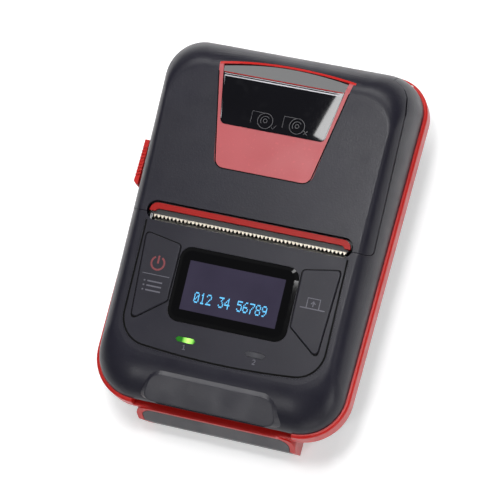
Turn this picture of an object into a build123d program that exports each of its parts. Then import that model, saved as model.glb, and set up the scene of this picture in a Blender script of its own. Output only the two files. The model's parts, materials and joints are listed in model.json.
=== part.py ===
from build123d import *

import math
import os

# Portable thermal printer, lying on its back. Millimetres. +Z points out of the front face, +Y to the
# hinge end, and the origin is on the back face, under the middle of the paper slot.

# Driving sizes of the housing
paper_width = 80.0
paper_half = paper_width / 2
trim_half_low = paper_half + 14.2
trim_half_high = paper_half + 16.6
trim_y_low = -76.4
trim_y_high = 81.6
trim_corner_low = 20.0
trim_corner_high = 16.5
trim_low = 22.0
trim_high = 30.0
trim_wall = 3.0
trim_round = 1.0
face_height = 49.0
face_tilt = 6.4
plateau_half_low = paper_half + 4.6
plateau_half_high = paper_half + 7.6
plateau_y_low = -58.0
plateau_y_high = 63.0
plateau_corner_low = 14.0
plateau_corner_high = 15.5
front_power = 1.85
front_inset = 1.6
back_inset = 1.0
back_taper = 6.0
back_power = 1.25
shell_wall = 2.2
floor_wall = 2.0
seam = 0.2
seat = 0.1
running = 0.05
loft_steps = 6

# Flat-faced boss above the foot
boss_width = 52.0
boss_length = 13.0
boss_round = 4.0
boss_depth = 9.0
boss_draft = 32.0
boss_lean = 37.0
boss_y = trim_y_low + 6.1
boss_z = trim_high + 5.6
boss_rise = 1.4

# Paper slot, tear bar and red lip, in the plane of the front face
slot_half = paper_half + 4.0
slot_low = -3.8
slot_high = 4.5
slot_corner = 4.0
slot_depth = 12.0
lip_half = slot_half - 1.0
lip_high = slot_high - 0.9
lip_band = 2.4
lip_corner = 3.4
lip_top = -0.4
lip_thickness = 1.6
blade_half = paper_half + 1.5
blade_thickness = 0.8
blade_edge = -0.5
tooth_height = 2.0
tooth_pitch = 1.66
blade_rear = 3.2

# Display and control panel, in the plane of the front face
panel_half = paper_half + 3.0
panel_low = -55.0
panel_bow = 1.5
panel_corner = 12.0
panel_thickness = 2.0
ledge_reach = 1.6
ledge_width = 1.0
ledge_thickness = 1.8
lens_half = 25.4
lens_low = -42.7
lens_high = -11.7
lens_corner = 5.0
lens_rise = 0.9
lens_draft = 60.0
lens_sunk = 1.2
module_half = lens_half - 2.8
module_low = lens_low + 2.9
module_high = lens_high - 3.1
module_depth = 3.2
screen_half = module_half - 2.2
screen_low = module_low + 2.2
screen_high = module_high - 2.4
screen_thickness = 0.3
screen_corner = 0.4

# Side keys, their switches and the indicators, in the plane of the front face
button_outer_top = panel_half - 1.3
button_outer_low = panel_half - 3.3
button_inner_top = lens_half + 0.6
button_inner_low = lens_half + 0.9
button_y_outer_top = lens_high + 2.7
button_y_inner_top = lens_high - 0.1
button_y_inner_low = lens_low + 7.3
button_y_outer_low = lens_low - 3.0
button_corner = 1.6
button_rise = 0.5
button_round = 0.4
button_travel = 0.8
button_flange = 0.9
button_flange_thickness = 1.0
button_slack = 0.2
switch_x = (button_inner_top + button_outer_top) / 2
switch_y = lens_low + 15.7
switch_size = 6.0
switch_body = 2.4
switch_height = 3.4
switch_tip = 1.7
stem_radius = 1.5
led_x = 14.9
led_y = panel_low + 5.5
led_length = 8.5
led_width = 2.0
led_size = 1.6
pipe_depth = 8.2
pipe_foot = 4.0
board_top = -9.5
board_thickness = 1.6
board_half = panel_half - 2.0
board_low = panel_low - 1.0
board_high = button_y_inner_top - 4.2
board_hole = 1.2

# Cover, its hinge and its parting lines
cover_half = paper_half + 11.4
cover_edge = -0.6
cover_corner = 2.6
cover_drop = 9.2
barrel_radius = 3.3
barrel_half = paper_half + 2.8
hinge_y = trim_y_high - front_inset - barrel_radius - seat
hinge_z = trim_high + barrel_radius + 0.4
hinge_sweep = math.hypot(trim_y_high - trim_wall - hinge_y, hinge_z - trim_high) - seat
pin_radius = 1.25
pin_half = paper_half + 8.0
ear_half = paper_half + 9.0
ear_low = hinge_y - 16.6
corner_radii = (
    (barrel_half + 0.2, 11.4),
    (paper_half + 7.7, 14.4),
    (paper_half + 10.2, 17.0),
    (paper_half + 11.8, 23.5),
)
window_low = 40.9
window_high = 69.0
window_half_low = 22.3
window_half_high = 27.2
window_corner = 2.2
window_ledge = 1.4
bezel_low = window_low - 18.1
bezel_high = window_high + 2.5
bezel_half_low = window_half_low - 1.7
bezel_half_high = window_half_high + 2.4
bezel_corner = 4.0
bezel_thickness = 1.2

# Bar on the cover that carries the tear bar and the platen
cover_screw_x = paper_half - 10.0
cover_screw_y = 9.5
cover_screw_radius = 0.9
cover_screw_head = 1.9
cover_screw_length = 1.3
cover_post_radius = 3.0
carrier_low = blade_edge + 0.9
carrier_high = cover_screw_y + 4.0
carrier_thickness = 2.4

# Paper roll compartment
roll_space_radius = 22.5
roll_y = 45.0
roll_z = 28.0
tub_wall = 1.5
tub_half = paper_half + 1.0
tub_end_height = 40.0
tub_edge = 2.0

# Platen, print head and the steel frame that holds them
sheet = 1.2
platen_y = 5.2
platen_z = 36.0
platen_radius = 6.0
platen_shaft_radius = 2.0
platen_half = paper_half + 0.4
bush_radius = 3.2
bush_flange_radius = 4.2
bush_flange = 0.5
cheek_inner = paper_half + 1.0
cheek_outer = cheek_inner + 1.4
cheek_radius = 4.5
cheek_reach = 5.5
side_plate_inner = cheek_outer + 1.0
side_plate_outer = side_plate_inner + sheet
notch_half = 4.2
frame_rear = -12.0
frame_front = 14.0
frame_low = 3.0
frame_high = 41.0
frame_back_low = 10.0
frame_shoulder = 30.0
head_gap = 0.2
head_thickness = 1.1
head_low = 29.2
head_half = paper_half + 2.0
sink_thickness = 3.0
fin_pitch = 3.4
fin_slot = 1.4
spring_radius = 2.0
spring_wall = 0.6
spring_x = 28.0
guide_top = 28.6
guide_drop = 0.6
sensor_x = 21.0
sensor_size = 6.0
sensor_height = 2.2

# Gears
gear_module = 0.6
pressure_angle = 25.0
platen_teeth = 18
drive_teeth = 12
wheel_teeth = 34
pinion_teeth = 10
backlash = 0.14
flank_steps = 4
gear_inner = side_plate_outer + 0.4
gear_width = 3.0
wheel_inner = gear_inner + gear_width + 0.4
wheel_width = 1.8
stud_radius = 1.2
stud_head = 2.0
stud_head_width = 0.7
motor_radius = 9.0
motor_length = 18.0
motor_flange = 1.0
motor_shaft_radius = 1.0
motor_direction = 232.0

# Battery, its bay and the red foot round its end
battery_half = 32.1
foot_low = trim_y_low - 3.2
foot_low_z = 13.0
foot_top_y = foot_low + 2.6
foot_under_y = foot_low + 1.6
battery_low = foot_low
battery_high = battery_low + 55.2
battery_top = 21.9
battery_bottom = 0.4
battery_corner = 5.2
battery_lean = 1.5
battery_slack = 0.3
rail_size = 1.6
rail_reach = 0.8
rail_z = 11.0
bay_wall = 1.6
bay_roof = 1.4
foot_rim = 2.5
foot_corner = 7.6
foot_depth = 8.0
foot_gap = 0.2
contact_half = 14.0
contact_y = battery_high + 0.5
contact_depth = 4.0
contact_top = 17.0
contact_xs = (-9.0, -3.0, 3.0, 9.0)
contact_low = 8.0
contact_high = 14.0
contact_pad = 2.0

# Release lever and latch
lever_low = 13.7
lever_high = 33.6
lever_reach = 2.0
lever_chamfer = 1.3
lever_bottom = 24.0
lever_top = 32.8
lever_travel = 4.0
rib_count = 9
rib_pitch = 1.5
rib_start = 4.0
rib_turn = 20.0
neck_low = 18.0
neck_high = 29.0
neck_bottom = 24.8
neck_top = 28.6
slide_low = 8.0
slide_high = 36.0
slide_wall = 1.6
slide_gap = 0.3
catch_y = 10.8
catch_width = 4.0
catch_z = 33.4
catch_thickness = 1.8
nose_gap = 0.3
nose_low = 31.0
nose_height = 2.0
tab_x = trim_half_low - 6.6
tab_width = 2.0
tab_y = catch_y - 4.8
tab_length = 3.0
return_stop = -7.2
return_stop_wall = 2.3
return_stop_top = 28.0
return_radius = 1.4
return_bore = 0.9
return_z = 26.0

# Case screws
screw_places = ((trim_half_low - 9.6, -54.0), (trim_half_high - 10.6, 62.0))
boss_radius = 3.0
boss_split = 13.0
boss_web = 6.0
screw_radius = 1.3
screw_head_radius = 2.2
screw_head_height = 1.8
screw_sunk = 1.5
screw_socket = 1.0
screw_grip = 10.0

# Side board and its sockets
io_x = 13.2 - trim_half_low
io_y = -38.0
io_length = 22.0
io_width = 12.0
io_z = 8.0
io_post = 10.0
socket_spread = 5.5
socket_front = 9.0
usb_width = 7.6
usb_height = 3.2
usb_wall = 0.5
usb_tongue = 4.8
jack_radius = 3.6
jack_bore = 2.8
jack_pin = 0.8

# Reaches past the housing for cuts, and sizes shared by several parts
above = 20.0
deep = 40.0
wide = 75.0
rooted = floor_wall - 0.5
thread_radius = screw_radius - 0.2

FACE = Pos(0, 0, face_height) * Rot(face_tilt, 0, 0)
HINGE = Axis((0, hinge_y, hinge_z), (1, 0, 0))
ALONG_X = Rot(0, 90, 0)
ACROSS = Rot(0, 0, 90) * Rot(90, 0, 0)
MIN_Z = (Align.CENTER, Align.CENTER, Align.MIN)

trim_plan = (trim_half_low, trim_half_high, trim_y_low, trim_y_high, trim_corner_low, trim_corner_high)
plateau_plan = (
    plateau_half_low,
    plateau_half_high,
    plateau_y_low,
    plateau_y_high,
    plateau_corner_low,
    plateau_corner_high,
)


def inset(plan, distance):
    """The plan moved inwards all round by the distance."""
    half_low, half_high, y_low, y_high, r_low, r_high = plan
    return (
        half_low - distance,
        half_high - distance,
        y_low + distance,
        y_high - distance,
        r_low - distance,
        r_high - distance,
    )


def outline(plan):
    """Tapered plan outline with its own corner radius at each end."""
    half_low, half_high, y_low, y_high, r_low, r_high = plan
    corners = [(-half_low, y_low), (half_low, y_low), (half_high, y_high), (-half_high, y_high)]
    face = make_face(Polyline(*corners, close=True))
    face = fillet(face.vertices().group_by(Axis.Y)[0], r_low)
    return fillet(face.vertices().group_by(Axis.Y)[-1], r_high)


def domed(base, top, z_base, z_top, tilt, power):
    """Body between two outlines whose sides follow a quarter superellipse; the top may be tilted."""
    sections = []
    for step in range(loft_steps):
        angle = math.pi / 2 * step / (loft_steps - 1)
        run = 1 - max(math.cos(angle), 0) ** (2 / power) if step < loft_steps - 1 else 1
        rise = math.sin(angle) ** (2 / power)
        plan = [a + (b - a) * run for a, b in zip(base, top)]
        sections.append(Pos(0, 0, z_base + (z_top - z_base) * rise) * Rot(tilt * rise, 0, 0) * outline(plan))
    return loft(sections)


def front_form(depth):
    """Outer form of the front housing, moved inwards by the depth."""
    base = inset(trim_plan, front_inset + depth)
    top = inset(plateau_plan, depth * 0.6)
    return domed(base, top, trim_high, face_height - depth, face_tilt, front_power)


def back_form(depth):
    """Outer form of the back housing, moved inwards by the depth and with a floor that thick."""
    base = inset(trim_plan, back_inset + depth)
    top = inset(trim_plan, back_inset + back_taper + depth)
    return domed(base, top, trim_low, depth, 0, back_power)


def box(x, y, z):
    """Box from three (low, high) pairs."""
    size = [high - low for low, high in (x, y, z)]
    middle = [(high + low) / 2 for low, high in (x, y, z)]
    return Pos(*middle) * Box(*size)


def rod(radius, x, y, z):
    """Cylinder along X between the two x values."""
    return Pos((x[0] + x[1]) / 2, y, z) * ALONG_X * Cylinder(radius, x[1] - x[0])


def post(radius, x, y, z):
    """Cylinder along Z between the two z values."""
    return Pos(x, y, z[0]) * Cylinder(radius, z[1] - z[0], align=MIN_Z)


def face_prism(sketch, low, high):
    """Sketch in the front face's plane, extruded square to it between two depths."""
    return FACE * Pos(0, 0, low) * extrude(sketch, high - low, dir=(0, 0, 1))


def face_box(x, y, z):
    """Box square to the front face, from three (low, high) pairs."""
    return FACE * box(x, y, z)


def rounded_box_plan(half, low, high, radius):
    """Rounded rectangle centred on the middle line."""
    return Pos(0, (low + high) / 2) * RectangleRounded(2 * half, high - low, radius)


def trapezoid(half_low, half_high, low, high, radius):
    """Symmetric trapezoid with rounded corners."""
    corners = [(-half_low, low), (half_low, low), (half_high, high), (-half_high, high)]
    face = make_face(Polyline(*corners, close=True))
    return fillet(face.vertices(), radius)


def both_sides(part):
    """The part and its mirror image across the middle plane."""
    return part + mirror(part, Plane.YZ)


def panel_plan(grow):
    """Control panel outline: straight sides, wide lower corners and a bowed lower edge."""
    half = panel_half + grow
    low = panel_low - grow
    radius = panel_corner + grow
    top = slot_low
    left = [(-half, top), (-half, low + radius)]
    edges = [
        Line(*left),
        CenterArc((-half + radius, low + radius), radius, 180, 90),
        ThreePointArc((-half + radius, low), (0, low - panel_bow), (half - radius, low)),
        CenterArc((half - radius, low + radius), radius, 270, 90),
        Line((half, low + radius), (half, top)),
        Line((half, top), (-half, top)),
    ]
    return make_face(edges)


def button_plan(side, grow):
    """Four-sided button beside the display."""
    corners = [
        (button_inner_top, button_y_inner_top),
        (button_outer_top, button_y_outer_top),
        (button_outer_low, button_y_outer_low),
        (button_inner_low, button_y_inner_low),
    ]
    face = fillet(make_face(Polyline(*corners, close=True)).vertices(), button_corner)
    if grow:
        face = offset(face, grow)
    return face if side > 0 else mirror(face, Plane.YZ)


def led_plan(grow):
    """Long flat hexagon of an indicator lens."""
    half = led_length / 2 + grow
    height = led_width / 2 + grow
    corners = [(-half, 0), (-half + height, height), (half - height, height)]
    corners += [(half, 0), (half - height, -height), (-half + height, -height)]
    return make_face(Polyline(*corners, close=True))


def hinge_corners(grow):
    """Rounds about the hinge line that part the fixed top corners from the swinging cover."""
    outer = corner_radii[-1][0] + above
    points = [(corner_radii[0][0] - grow, hinge_z)]
    points += [(x - grow, hinge_z + radius + grow) for x, radius in corner_radii]
    points += [(outer, hinge_z + corner_radii[-1][1] + grow), (outer, hinge_z)]
    profile = make_face(Polyline(*[(x, hinge_y, z) for x, z in points], close=True))
    return both_sides(revolve(profile, HINGE, 360))


def cover_zone(grow, corner_grow):
    """Space that the cover takes from the front housing."""
    far = trim_y_high + above
    plan = Pos(0, (cover_edge - grow + far) / 2) * Rectangle(2 * (cover_half + grow), far - cover_edge + grow)
    plan = fillet(plan.vertices().group_by(Axis.Y)[0], cover_corner)
    zone = face_prism(plan, -cover_drop - grow, above)
    hinge_half = barrel_half + grow
    zone += box((-hinge_half, hinge_half), (ear_low, far), (trim_high - grow, face_height))
    return zone - hinge_corners(corner_grow)


def slot_cut():
    """Paper slot recess, cut through the front housing and the cover."""
    return face_prism(rounded_box_plan(slot_half, slot_low, slot_high, slot_corner), -slot_depth, above)


def screw_bosses():
    """Bosses that run down from the front housing to meet those of the back housing."""
    bosses = Part()
    for x, y in screw_places:
        tall = post(boss_radius, x, y, (boss_split, face_height))
        web = box((x, x + boss_web), (y - 1, y + 1), (trim_high, face_height))
        bosses += (tall + web) & front_form(shell_wall / 2)
        bosses += post(boss_radius, x, y, (boss_split, trim_high + 1))
        bosses -= post(thread_radius, x, y, (boss_split - 1, boss_split + screw_grip + 2))
    return both_sides(bosses)


def foot_boss():
    """Flat-faced swelling of the front housing above the foot."""
    plane = Pos(0, boss_y, boss_z) * Rot(face_tilt + boss_lean, 0, 0)
    pad = extrude(RectangleRounded(boss_width, boss_length, boss_round), -boss_depth, taper=-boss_draft)
    return plane * pad


def make_front_shell(outer, inner):
    shell = outer - inner
    shell -= cover_zone(seam, 0)
    shell += foot_boss() & front_form(-boss_rise)
    shell -= foot_boss() & front_form(shell_wall + boss_rise) & inner
    ledge = panel_plan(ledge_reach) - panel_plan(-ledge_width)
    ledge_low = -panel_thickness - ledge_thickness
    shell -= face_prism(panel_plan(seam), -panel_thickness, above)
    shell += face_prism(ledge, ledge_low, -panel_thickness) & outer
    shell -= face_prism(panel_plan(-ledge_width), ledge_low - shell_wall, above)
    ear = box((barrel_half + 0.3, ear_half), (ear_low, trim_y_high + above), (trim_high, face_height))
    shell += both_sides(ear) & hinge_corners(0) & outer
    shell -= rod(pin_radius, (-pin_half, pin_half), hinge_y, hinge_z)
    skirt = battery_half + foot_rim - 0.8
    skirt_low = battery_top + battery_slack + foot_rim + foot_gap
    low = trim_y_low + front_inset + 0.8
    shell += box((-skirt, skirt), (low, low + shell_wall), (skirt_low, trim_high + 1))
    shell -= slot_cut()
    return shell + (screw_bosses() - cover_zone(seam, 0))


def make_back_shell():
    shell = back_form(0) - back_form(shell_wall)
    for x, y in screw_places:
        shell += both_sides(post(boss_radius + 0.4, x, y, (floor_wall, boss_split)) & back_form(0))
    along = (frame_rear + 4, frame_front - 4)
    foot = box((side_plate_inner - 2, side_plate_outer + 2), along, (rooted, frame_low))
    shell += both_sides(foot)
    outer_half = battery_half + battery_slack + bay_wall
    bay_top = battery_top + battery_slack
    along = (trim_y_low + foot_depth / 2, battery_high + 2)
    bay = box((-outer_half, outer_half), along, (0, bay_top + bay_roof))
    head_low_y = trim_y_low + trim_wall + seat
    bay_head = box((-wide, wide), (head_low_y, battery_high + 2), (trim_low, trim_high))
    shell += bay & (back_form(0) + bay_head)
    shell -= battery_space()
    arch_half = battery_half + battery_slack + foot_rim + foot_gap
    arch_end = foot_low + foot_depth + foot_gap
    shell -= foot_block(arch_half, trim_high, 1, foot_low - 5, arch_end)
    reach = 2 * roll_space_radius / 3
    for x in (-tub_half * 0.73, tub_half * 0.73):
        rib = box((x - 1, x + 1), (roll_y - reach, roll_y + reach), (rooted, roll_z / 2))
        shell += rib - rod(roll_space_radius + tub_wall + seat, (x - 2, x + 2), roll_y, roll_z)
    half = io_post / 2
    shell += box((io_x - half, io_x + half), (io_y - half, io_y + half), (rooted, io_z))
    stop_y = (return_stop - return_stop_wall, return_stop)
    stop_x = -slide_outer() - 0.5
    shell += box((stop_x - 2, stop_x + 3), stop_y, (rooted, trim_low)) & back_form(0)
    shell += box((stop_x, stop_x + 3), stop_y, (trim_low - 2, return_stop_top))
    shell -= socket_cuts()
    for x, y in screw_places:
        shell -= both_sides(post(screw_head_radius + 0.3, x, y, (-1, floor_wall + screw_sunk)))
        shell -= both_sides(post(screw_radius + 0.15, x, y, (0, boss_split + 1)))
    shell -= contact_block(seat)
    return shell


def battery_space():
    """Space in the back housing for the battery and its side rails."""
    half = battery_half + battery_slack
    high = battery_high + battery_slack
    space = foot_block(half, battery_top + battery_slack, battery_corner, foot_low - 5, high)
    space += box((-half + battery_lean, half - battery_lean), (foot_low - 5, high), (-1, 1))
    return space + rails(battery_slack, foot_low - 5, high)


def rails(grow, low, high):
    """Guide rails on the two sides of the battery, or their channels where they are grown."""
    reach = battery_half + rail_reach + grow
    height = rail_size / 2 + grow
    return box((-reach, reach), (low, high), (rail_z - height, rail_z + height))


def socket_cuts():
    """Openings in the left wall for the data socket and the charging socket."""
    y = io_y + socket_spread
    half = usb_width / 2 + 0.5
    usb = box((-wide, io_x), (y - half, y + half), (usb_low() - 0.5, usb_low() + usb_height + 0.5))
    return usb + rod(jack_radius + 0.4, (-wide, io_x), io_y - socket_spread, usb_low() + jack_radius)


def usb_low():
    return io_z + board_thickness


def make_mid_frame():
    ring = Pos(0, 0, trim_low) * extrude(outline(trim_plan), trim_high - trim_low, dir=(0, 0, 1))
    ring = fillet(ring.edges().group_by(Axis.Z)[-1], trim_round)
    hollow = extrude(outline(inset(trim_plan, trim_wall)), trim_high, dir=(0, 0, 1))
    ring -= Pos(0, 0, trim_low - 1) * hollow
    inner_half = battery_half + battery_slack
    outer_half = inner_half + foot_rim
    inner_top = battery_top + battery_slack
    arch = foot_block(outer_half, inner_top + foot_rim, foot_corner, foot_low, foot_low + foot_depth)
    arch -= foot_block(inner_half, inner_top, battery_corner + 0.3, foot_low - 1, foot_low + foot_depth + 1)
    arch &= foot_slope()
    arch -= rails(battery_slack, foot_low - 1, foot_low + foot_depth + 1)
    arch_top = inner_top + foot_rim
    opening_half = outer_half - 0.6
    ring -= box((-opening_half, opening_half), (trim_y_low - 5, trim_y_low + 12), (arch_top, trim_high + 5))
    frame = ring + arch
    slot_y = (neck_low - slide_gap, neck_high + lever_travel + slide_gap)
    return frame - box((-wide, -slide_outer()), slot_y, (neck_bottom - slide_gap, neck_top + slide_gap))


def foot_block(half, top, radius, low, high):
    """Block along Y whose sides lean in towards the back and whose two front edges are round."""
    corners = [(-half + battery_lean, 0), (half - battery_lean, 0), (half, top), (-half, top)]
    profile = make_face(Polyline(*corners, close=True))
    profile = fillet(profile.vertices().group_by(Axis.Y)[-1], radius)
    return Pos(0, high, 0) * Rot(90, 0, 0) * extrude(profile, high - low, dir=(0, 0, 1))


def foot_slope():
    """Space behind the slanting end of the foot."""
    high = trim_high + 5
    points = [(foot_top_y, high), (foot_top_y, battery_top), (foot_low, foot_low_z), (foot_under_y, 0)]
    points += [(foot_under_y, -5), (0, -5), (0, high)]
    block = extrude(make_face(Polyline(*points, close=True)), 2 * wide, dir=(0, 0, 1))
    return Pos(-wide, 0, 0) * ACROSS * block


def make_cover_shell(outer, inner):
    shell = (outer - inner) & cover_zone(0, seam + 0.2)
    shell += rod(barrel_radius, (-barrel_half, barrel_half), hinge_y, hinge_z)
    shell -= rod(pin_radius + running, (-pin_half, pin_half), hinge_y, hinge_z)
    below = box((-wide, wide), (hinge_y, trim_y_high + above), (trim_high - 1, hinge_z))
    shell -= below - rod(hinge_sweep, (-wide, wide), hinge_y, hinge_z)
    shell -= slot_cut()
    shell -= bezel_patch()
    shell -= face_prism(window_plan(-window_ledge), -deep, above)
    for x in (-cover_screw_x, cover_screw_x):
        place = Pos(x, cover_screw_y)
        shell += face_prism(place * Circle(cover_post_radius), carrier_top(), -shell_wall + 0.3)
        shell -= face_prism(place * Circle(cover_screw_radius), carrier_top() - 1, -shell_wall + 1.3)
    tab_sides = (-tab_x - tab_width / 2, -tab_x + tab_width / 2)
    tab = box(tab_sides, (tab_y, tab_y + tab_length), (nose_low, face_height))
    nose_y = (tab_y + tab_length - 1, catch_y - nose_gap)
    tab += box(tab_sides, nose_y, (nose_low, nose_low + nose_height))
    return shell + (tab & front_form(shell_wall / 2))


def window_plan(grow):
    return trapezoid(
        window_half_low + grow, window_half_high + grow, window_low - grow, window_high + grow, window_corner
    )


def bezel_patch():
    """Skin of the cover between its outer surface and the bezel's depth, within the bezel's outline."""
    plan = trapezoid(bezel_half_low, bezel_half_high, bezel_low, bezel_high, bezel_corner)
    return face_prism(plan, -deep, above) & (front_form(0) - front_form(bezel_thickness))


def carrier_top():
    return lip_top - lip_thickness - blade_thickness


def make_lip():
    low = slot_low - slot_corner
    band = rounded_box_plan(lip_half, low, lip_high, lip_corner)
    band -= rounded_box_plan(lip_half - lip_band, low, lip_high - lip_band, lip_corner / 2)
    band &= Pos(0, above) * Rectangle(2 * wide, 2 * above)
    return face_prism(band, lip_top - lip_thickness, lip_top)


def make_tear_bar():
    count = round(2 * blade_half / tooth_pitch)
    pitch = 2 * blade_half / count
    points = [(-blade_half, blade_rear), (-blade_half, blade_edge)]
    for index in range(count):
        left = -blade_half + index * pitch
        points.append((left + pitch / 2, blade_edge - tooth_height))
        points.append((left + pitch, blade_edge - 0.6))
    points.append((blade_half, blade_rear))
    plan = make_face(Polyline(*points, close=True))
    return face_prism(plan, carrier_top(), carrier_top() + blade_thickness)


def make_carrier():
    """Bar that holds the tear bar and, on two cheeks, the platen's bushes."""
    top = carrier_top()
    carrier = face_box((-lip_half, lip_half), (carrier_low, carrier_high), (top - carrier_thickness, top))
    cheek_y = (platen_y - cheek_radius, platen_y + cheek_reach)
    cheek = box((cheek_inner, cheek_outer), cheek_y, (platen_z - 1, face_height))
    cheek += rod(cheek_radius, (cheek_inner, cheek_outer), platen_y, platen_z)
    cheek &= face_box((0, wide), (-deep, deep), (-deep, top - 1))
    carrier += both_sides(cheek)
    carrier -= rod(bush_radius, (-wide, wide), platen_y, platen_z)
    for x in (-cover_screw_x, cover_screw_x):
        hole = Pos(x, cover_screw_y) * Circle(cover_screw_radius + 0.2)
        carrier -= face_prism(hole, top - carrier_thickness - 1, top + 1)
    return carrier


def make_cover_screws():
    screws = []
    low = carrier_top() - carrier_thickness
    for x in (-cover_screw_x, cover_screw_x):
        place = Pos(x, cover_screw_y)
        head = face_prism(place * Circle(cover_screw_head), low - cover_screw_length, low)
        screws.append(head + face_prism(place * Circle(cover_screw_radius), low - 0.1, -shell_wall + 1))
    return screws


def make_bushes():
    bush = rod(bush_radius, (cheek_inner, cheek_outer), platen_y, platen_z)
    bush += rod(bush_flange_radius, (cheek_inner - bush_flange, cheek_inner), platen_y, platen_z)
    bush -= rod(platen_shaft_radius + running, (0, wide), platen_y, platen_z)
    return [bush, mirror(bush, Plane.YZ)]


def gear_plan(teeth, phase):
    """Involute gear outline with one tooth centred on the phase angle."""
    pitch = gear_module * teeth / 2
    base = pitch * math.cos(math.radians(pressure_angle))
    tip = pitch + gear_module
    root = pitch - 1.25 * gear_module
    half_tooth = math.pi / (2 * teeth) - backlash / (2 * pitch)
    at_pitch = involute_turn(pitch, base)
    flank = [(root, half_tooth + at_pitch)] if root < base else []
    start = max(base, root)
    for step in range(flank_steps):
        radius = start + (tip - start) * step / (flank_steps - 1)
        flank.append((radius, half_tooth + at_pitch - involute_turn(radius, base)))
    points = []
    for tooth in range(teeth):
        centre = math.radians(phase) + 2 * math.pi * tooth / teeth
        points += [(radius, centre - turn) for radius, turn in flank]
        points += [(radius, centre + turn) for radius, turn in reversed(flank)]
    return make_face(Polyline(*[(r * math.cos(a), r * math.sin(a)) for r, a in points], close=True))


def involute_turn(radius, base):
    """Angle that the involute has turned at the radius."""
    angle = math.acos(base / radius)
    return math.tan(angle) - angle


def gear(teeth, phase, x, width, y, z, bore):
    """Gear on an axis along X; its phase is measured from +Y towards +Z."""
    wheel = extrude(gear_plan(teeth, phase), width, dir=(0, 0, 1)) - Cylinder(bore, 4 * width)
    return Pos(x, y, z) * ACROSS * wheel


def drive_centre():
    return platen_y, platen_z - gear_module * (platen_teeth + drive_teeth) / 2


def motor_centre():
    y, z = drive_centre()
    reach = gear_module * (wheel_teeth + pinion_teeth) / 2
    turn = math.radians(motor_direction)
    return y + reach * math.cos(turn), z + reach * math.sin(turn)


def make_platen_gear():
    y, z = platen_y, platen_z
    return gear(platen_teeth, -90, gear_inner, gear_width, y, z, platen_shaft_radius)


def make_platen_shaft():
    return rod(platen_shaft_radius, (-side_plate_outer - 0.2, gear_inner + gear_width), platen_y, platen_z)


def make_platen_rubber():
    sleeve = rod(platen_radius, (-platen_half, platen_half), platen_y, platen_z)
    return sleeve - rod(platen_shaft_radius, (-wide, wide), platen_y, platen_z)


def make_motor_shaft():
    inner = side_plate_inner - motor_flange - motor_length / 2 + 1
    return rod(motor_shaft_radius, (inner, wheel_inner + wheel_width), *motor_centre())


def make_pinion():
    """Pinion on the motor, with a gap facing the wheel's tooth."""
    y, z = motor_centre()
    phase = motor_direction + 180 + 180 / pinion_teeth
    return gear(pinion_teeth, phase, wheel_inner, wheel_width, y, z, motor_shaft_radius)


def make_reduction_gear():
    y, z = drive_centre()
    bore = stud_radius + running
    small = gear(drive_teeth, 90 + 180 / drive_teeth, gear_inner, wheel_inner - gear_inner, y, z, bore)
    return small + gear(wheel_teeth, motor_direction, wheel_inner, wheel_width, y, z, bore)


def make_mech_frame():
    outline_points = [
        (frame_rear, frame_low),
        (frame_front, frame_low),
        (frame_front, frame_shoulder),
        (platen_y + cheek_reach, frame_high),
        (frame_rear, frame_high),
    ]
    side = extrude(make_face(Polyline(*outline_points, close=True)), sheet, dir=(0, 0, 1))
    side = Pos(side_plate_inner, 0, 0) * ACROSS * side
    side -= rod(notch_half, (0, wide), platen_y, platen_z)
    side -= box((0, wide), (platen_y - notch_half, platen_y + notch_half), (platen_z, face_height))
    frame = both_sides(side)
    across = (-side_plate_inner, side_plate_inner)
    frame += box(across, (frame_rear, frame_rear + sheet), (frame_back_low, frame_high))
    frame += box(across, (frame_rear, frame_front), (frame_low, frame_low + sheet))
    y, z = motor_centre()
    low_x = side_plate_inner - motor_length - 2
    motor_top = z + motor_radius + 0.5
    through = (frame_rear - 1, frame_rear + sheet)
    frame -= box((low_x, side_plate_inner), through, (frame_back_low - 1, motor_top))
    frame -= rod(motor_shaft_radius + 0.6, (0, wide), y, z)
    return frame - rod(stud_radius, (0, wide), *drive_centre())


def make_tub():
    outer = roll_space_radius + tub_wall
    full = rod(outer, (-tub_half, tub_half), roll_y, roll_z)
    space = rod(roll_space_radius, (-tub_half - 1, tub_half + 1), roll_y, roll_z)
    upper = box((-wide, wide), (0, trim_y_high), (roll_z, 2 * face_height))
    tub = full - space - Pos(0, 0, -tub_edge) * upper
    end = rod(outer, (tub_half, tub_half + tub_wall), roll_y, roll_z) - upper
    end_y = (roll_y - outer, roll_y + outer - tub_edge)
    end += box((tub_half, tub_half + tub_wall), end_y, (roll_z, tub_end_height))
    end -= rod(barrel_radius + 1, (0, wide), hinge_y, hinge_z)
    return tub + both_sides(end)


def make_paper_guide():
    """Sloping sheet that leads the paper from the roll to under the platen."""
    rear = frame_rear + sheet
    front = roll_y - roll_space_radius - tub_wall - seat
    level = guide_top - guide_drop
    top = [(rear, level - 0.9), (platen_y - 4, level), (platen_y + 3, level), (front, roll_z - 3)]
    points = top + [(y, z - sheet) for y, z in reversed(top)]
    half = side_plate_inner
    sheet_part = extrude(make_face(Polyline(*points, close=True)), 2 * half, dir=(0, 0, 1))
    return Pos(-half, 0, 0) * ACROSS * sheet_part


def make_head():
    front = platen_y - platen_radius - head_gap
    return box((-head_half, head_half), (front - head_thickness, front), (head_low, frame_high))


def make_heat_sink():
    front = platen_y - platen_radius - head_gap - head_thickness
    sink = box((-head_half, head_half), (front - sink_thickness, front), (head_low, frame_high))
    count = int((frame_high - head_low) / fin_pitch)
    for index in range(count):
        low = head_low + fin_pitch * (index + 0.7)
        slot_y = (front - sink_thickness - 1, front - sink_thickness / 2)
        sink -= box((-head_half - 1, head_half + 1), slot_y, (low, low + fin_slot))
    return sink


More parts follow.
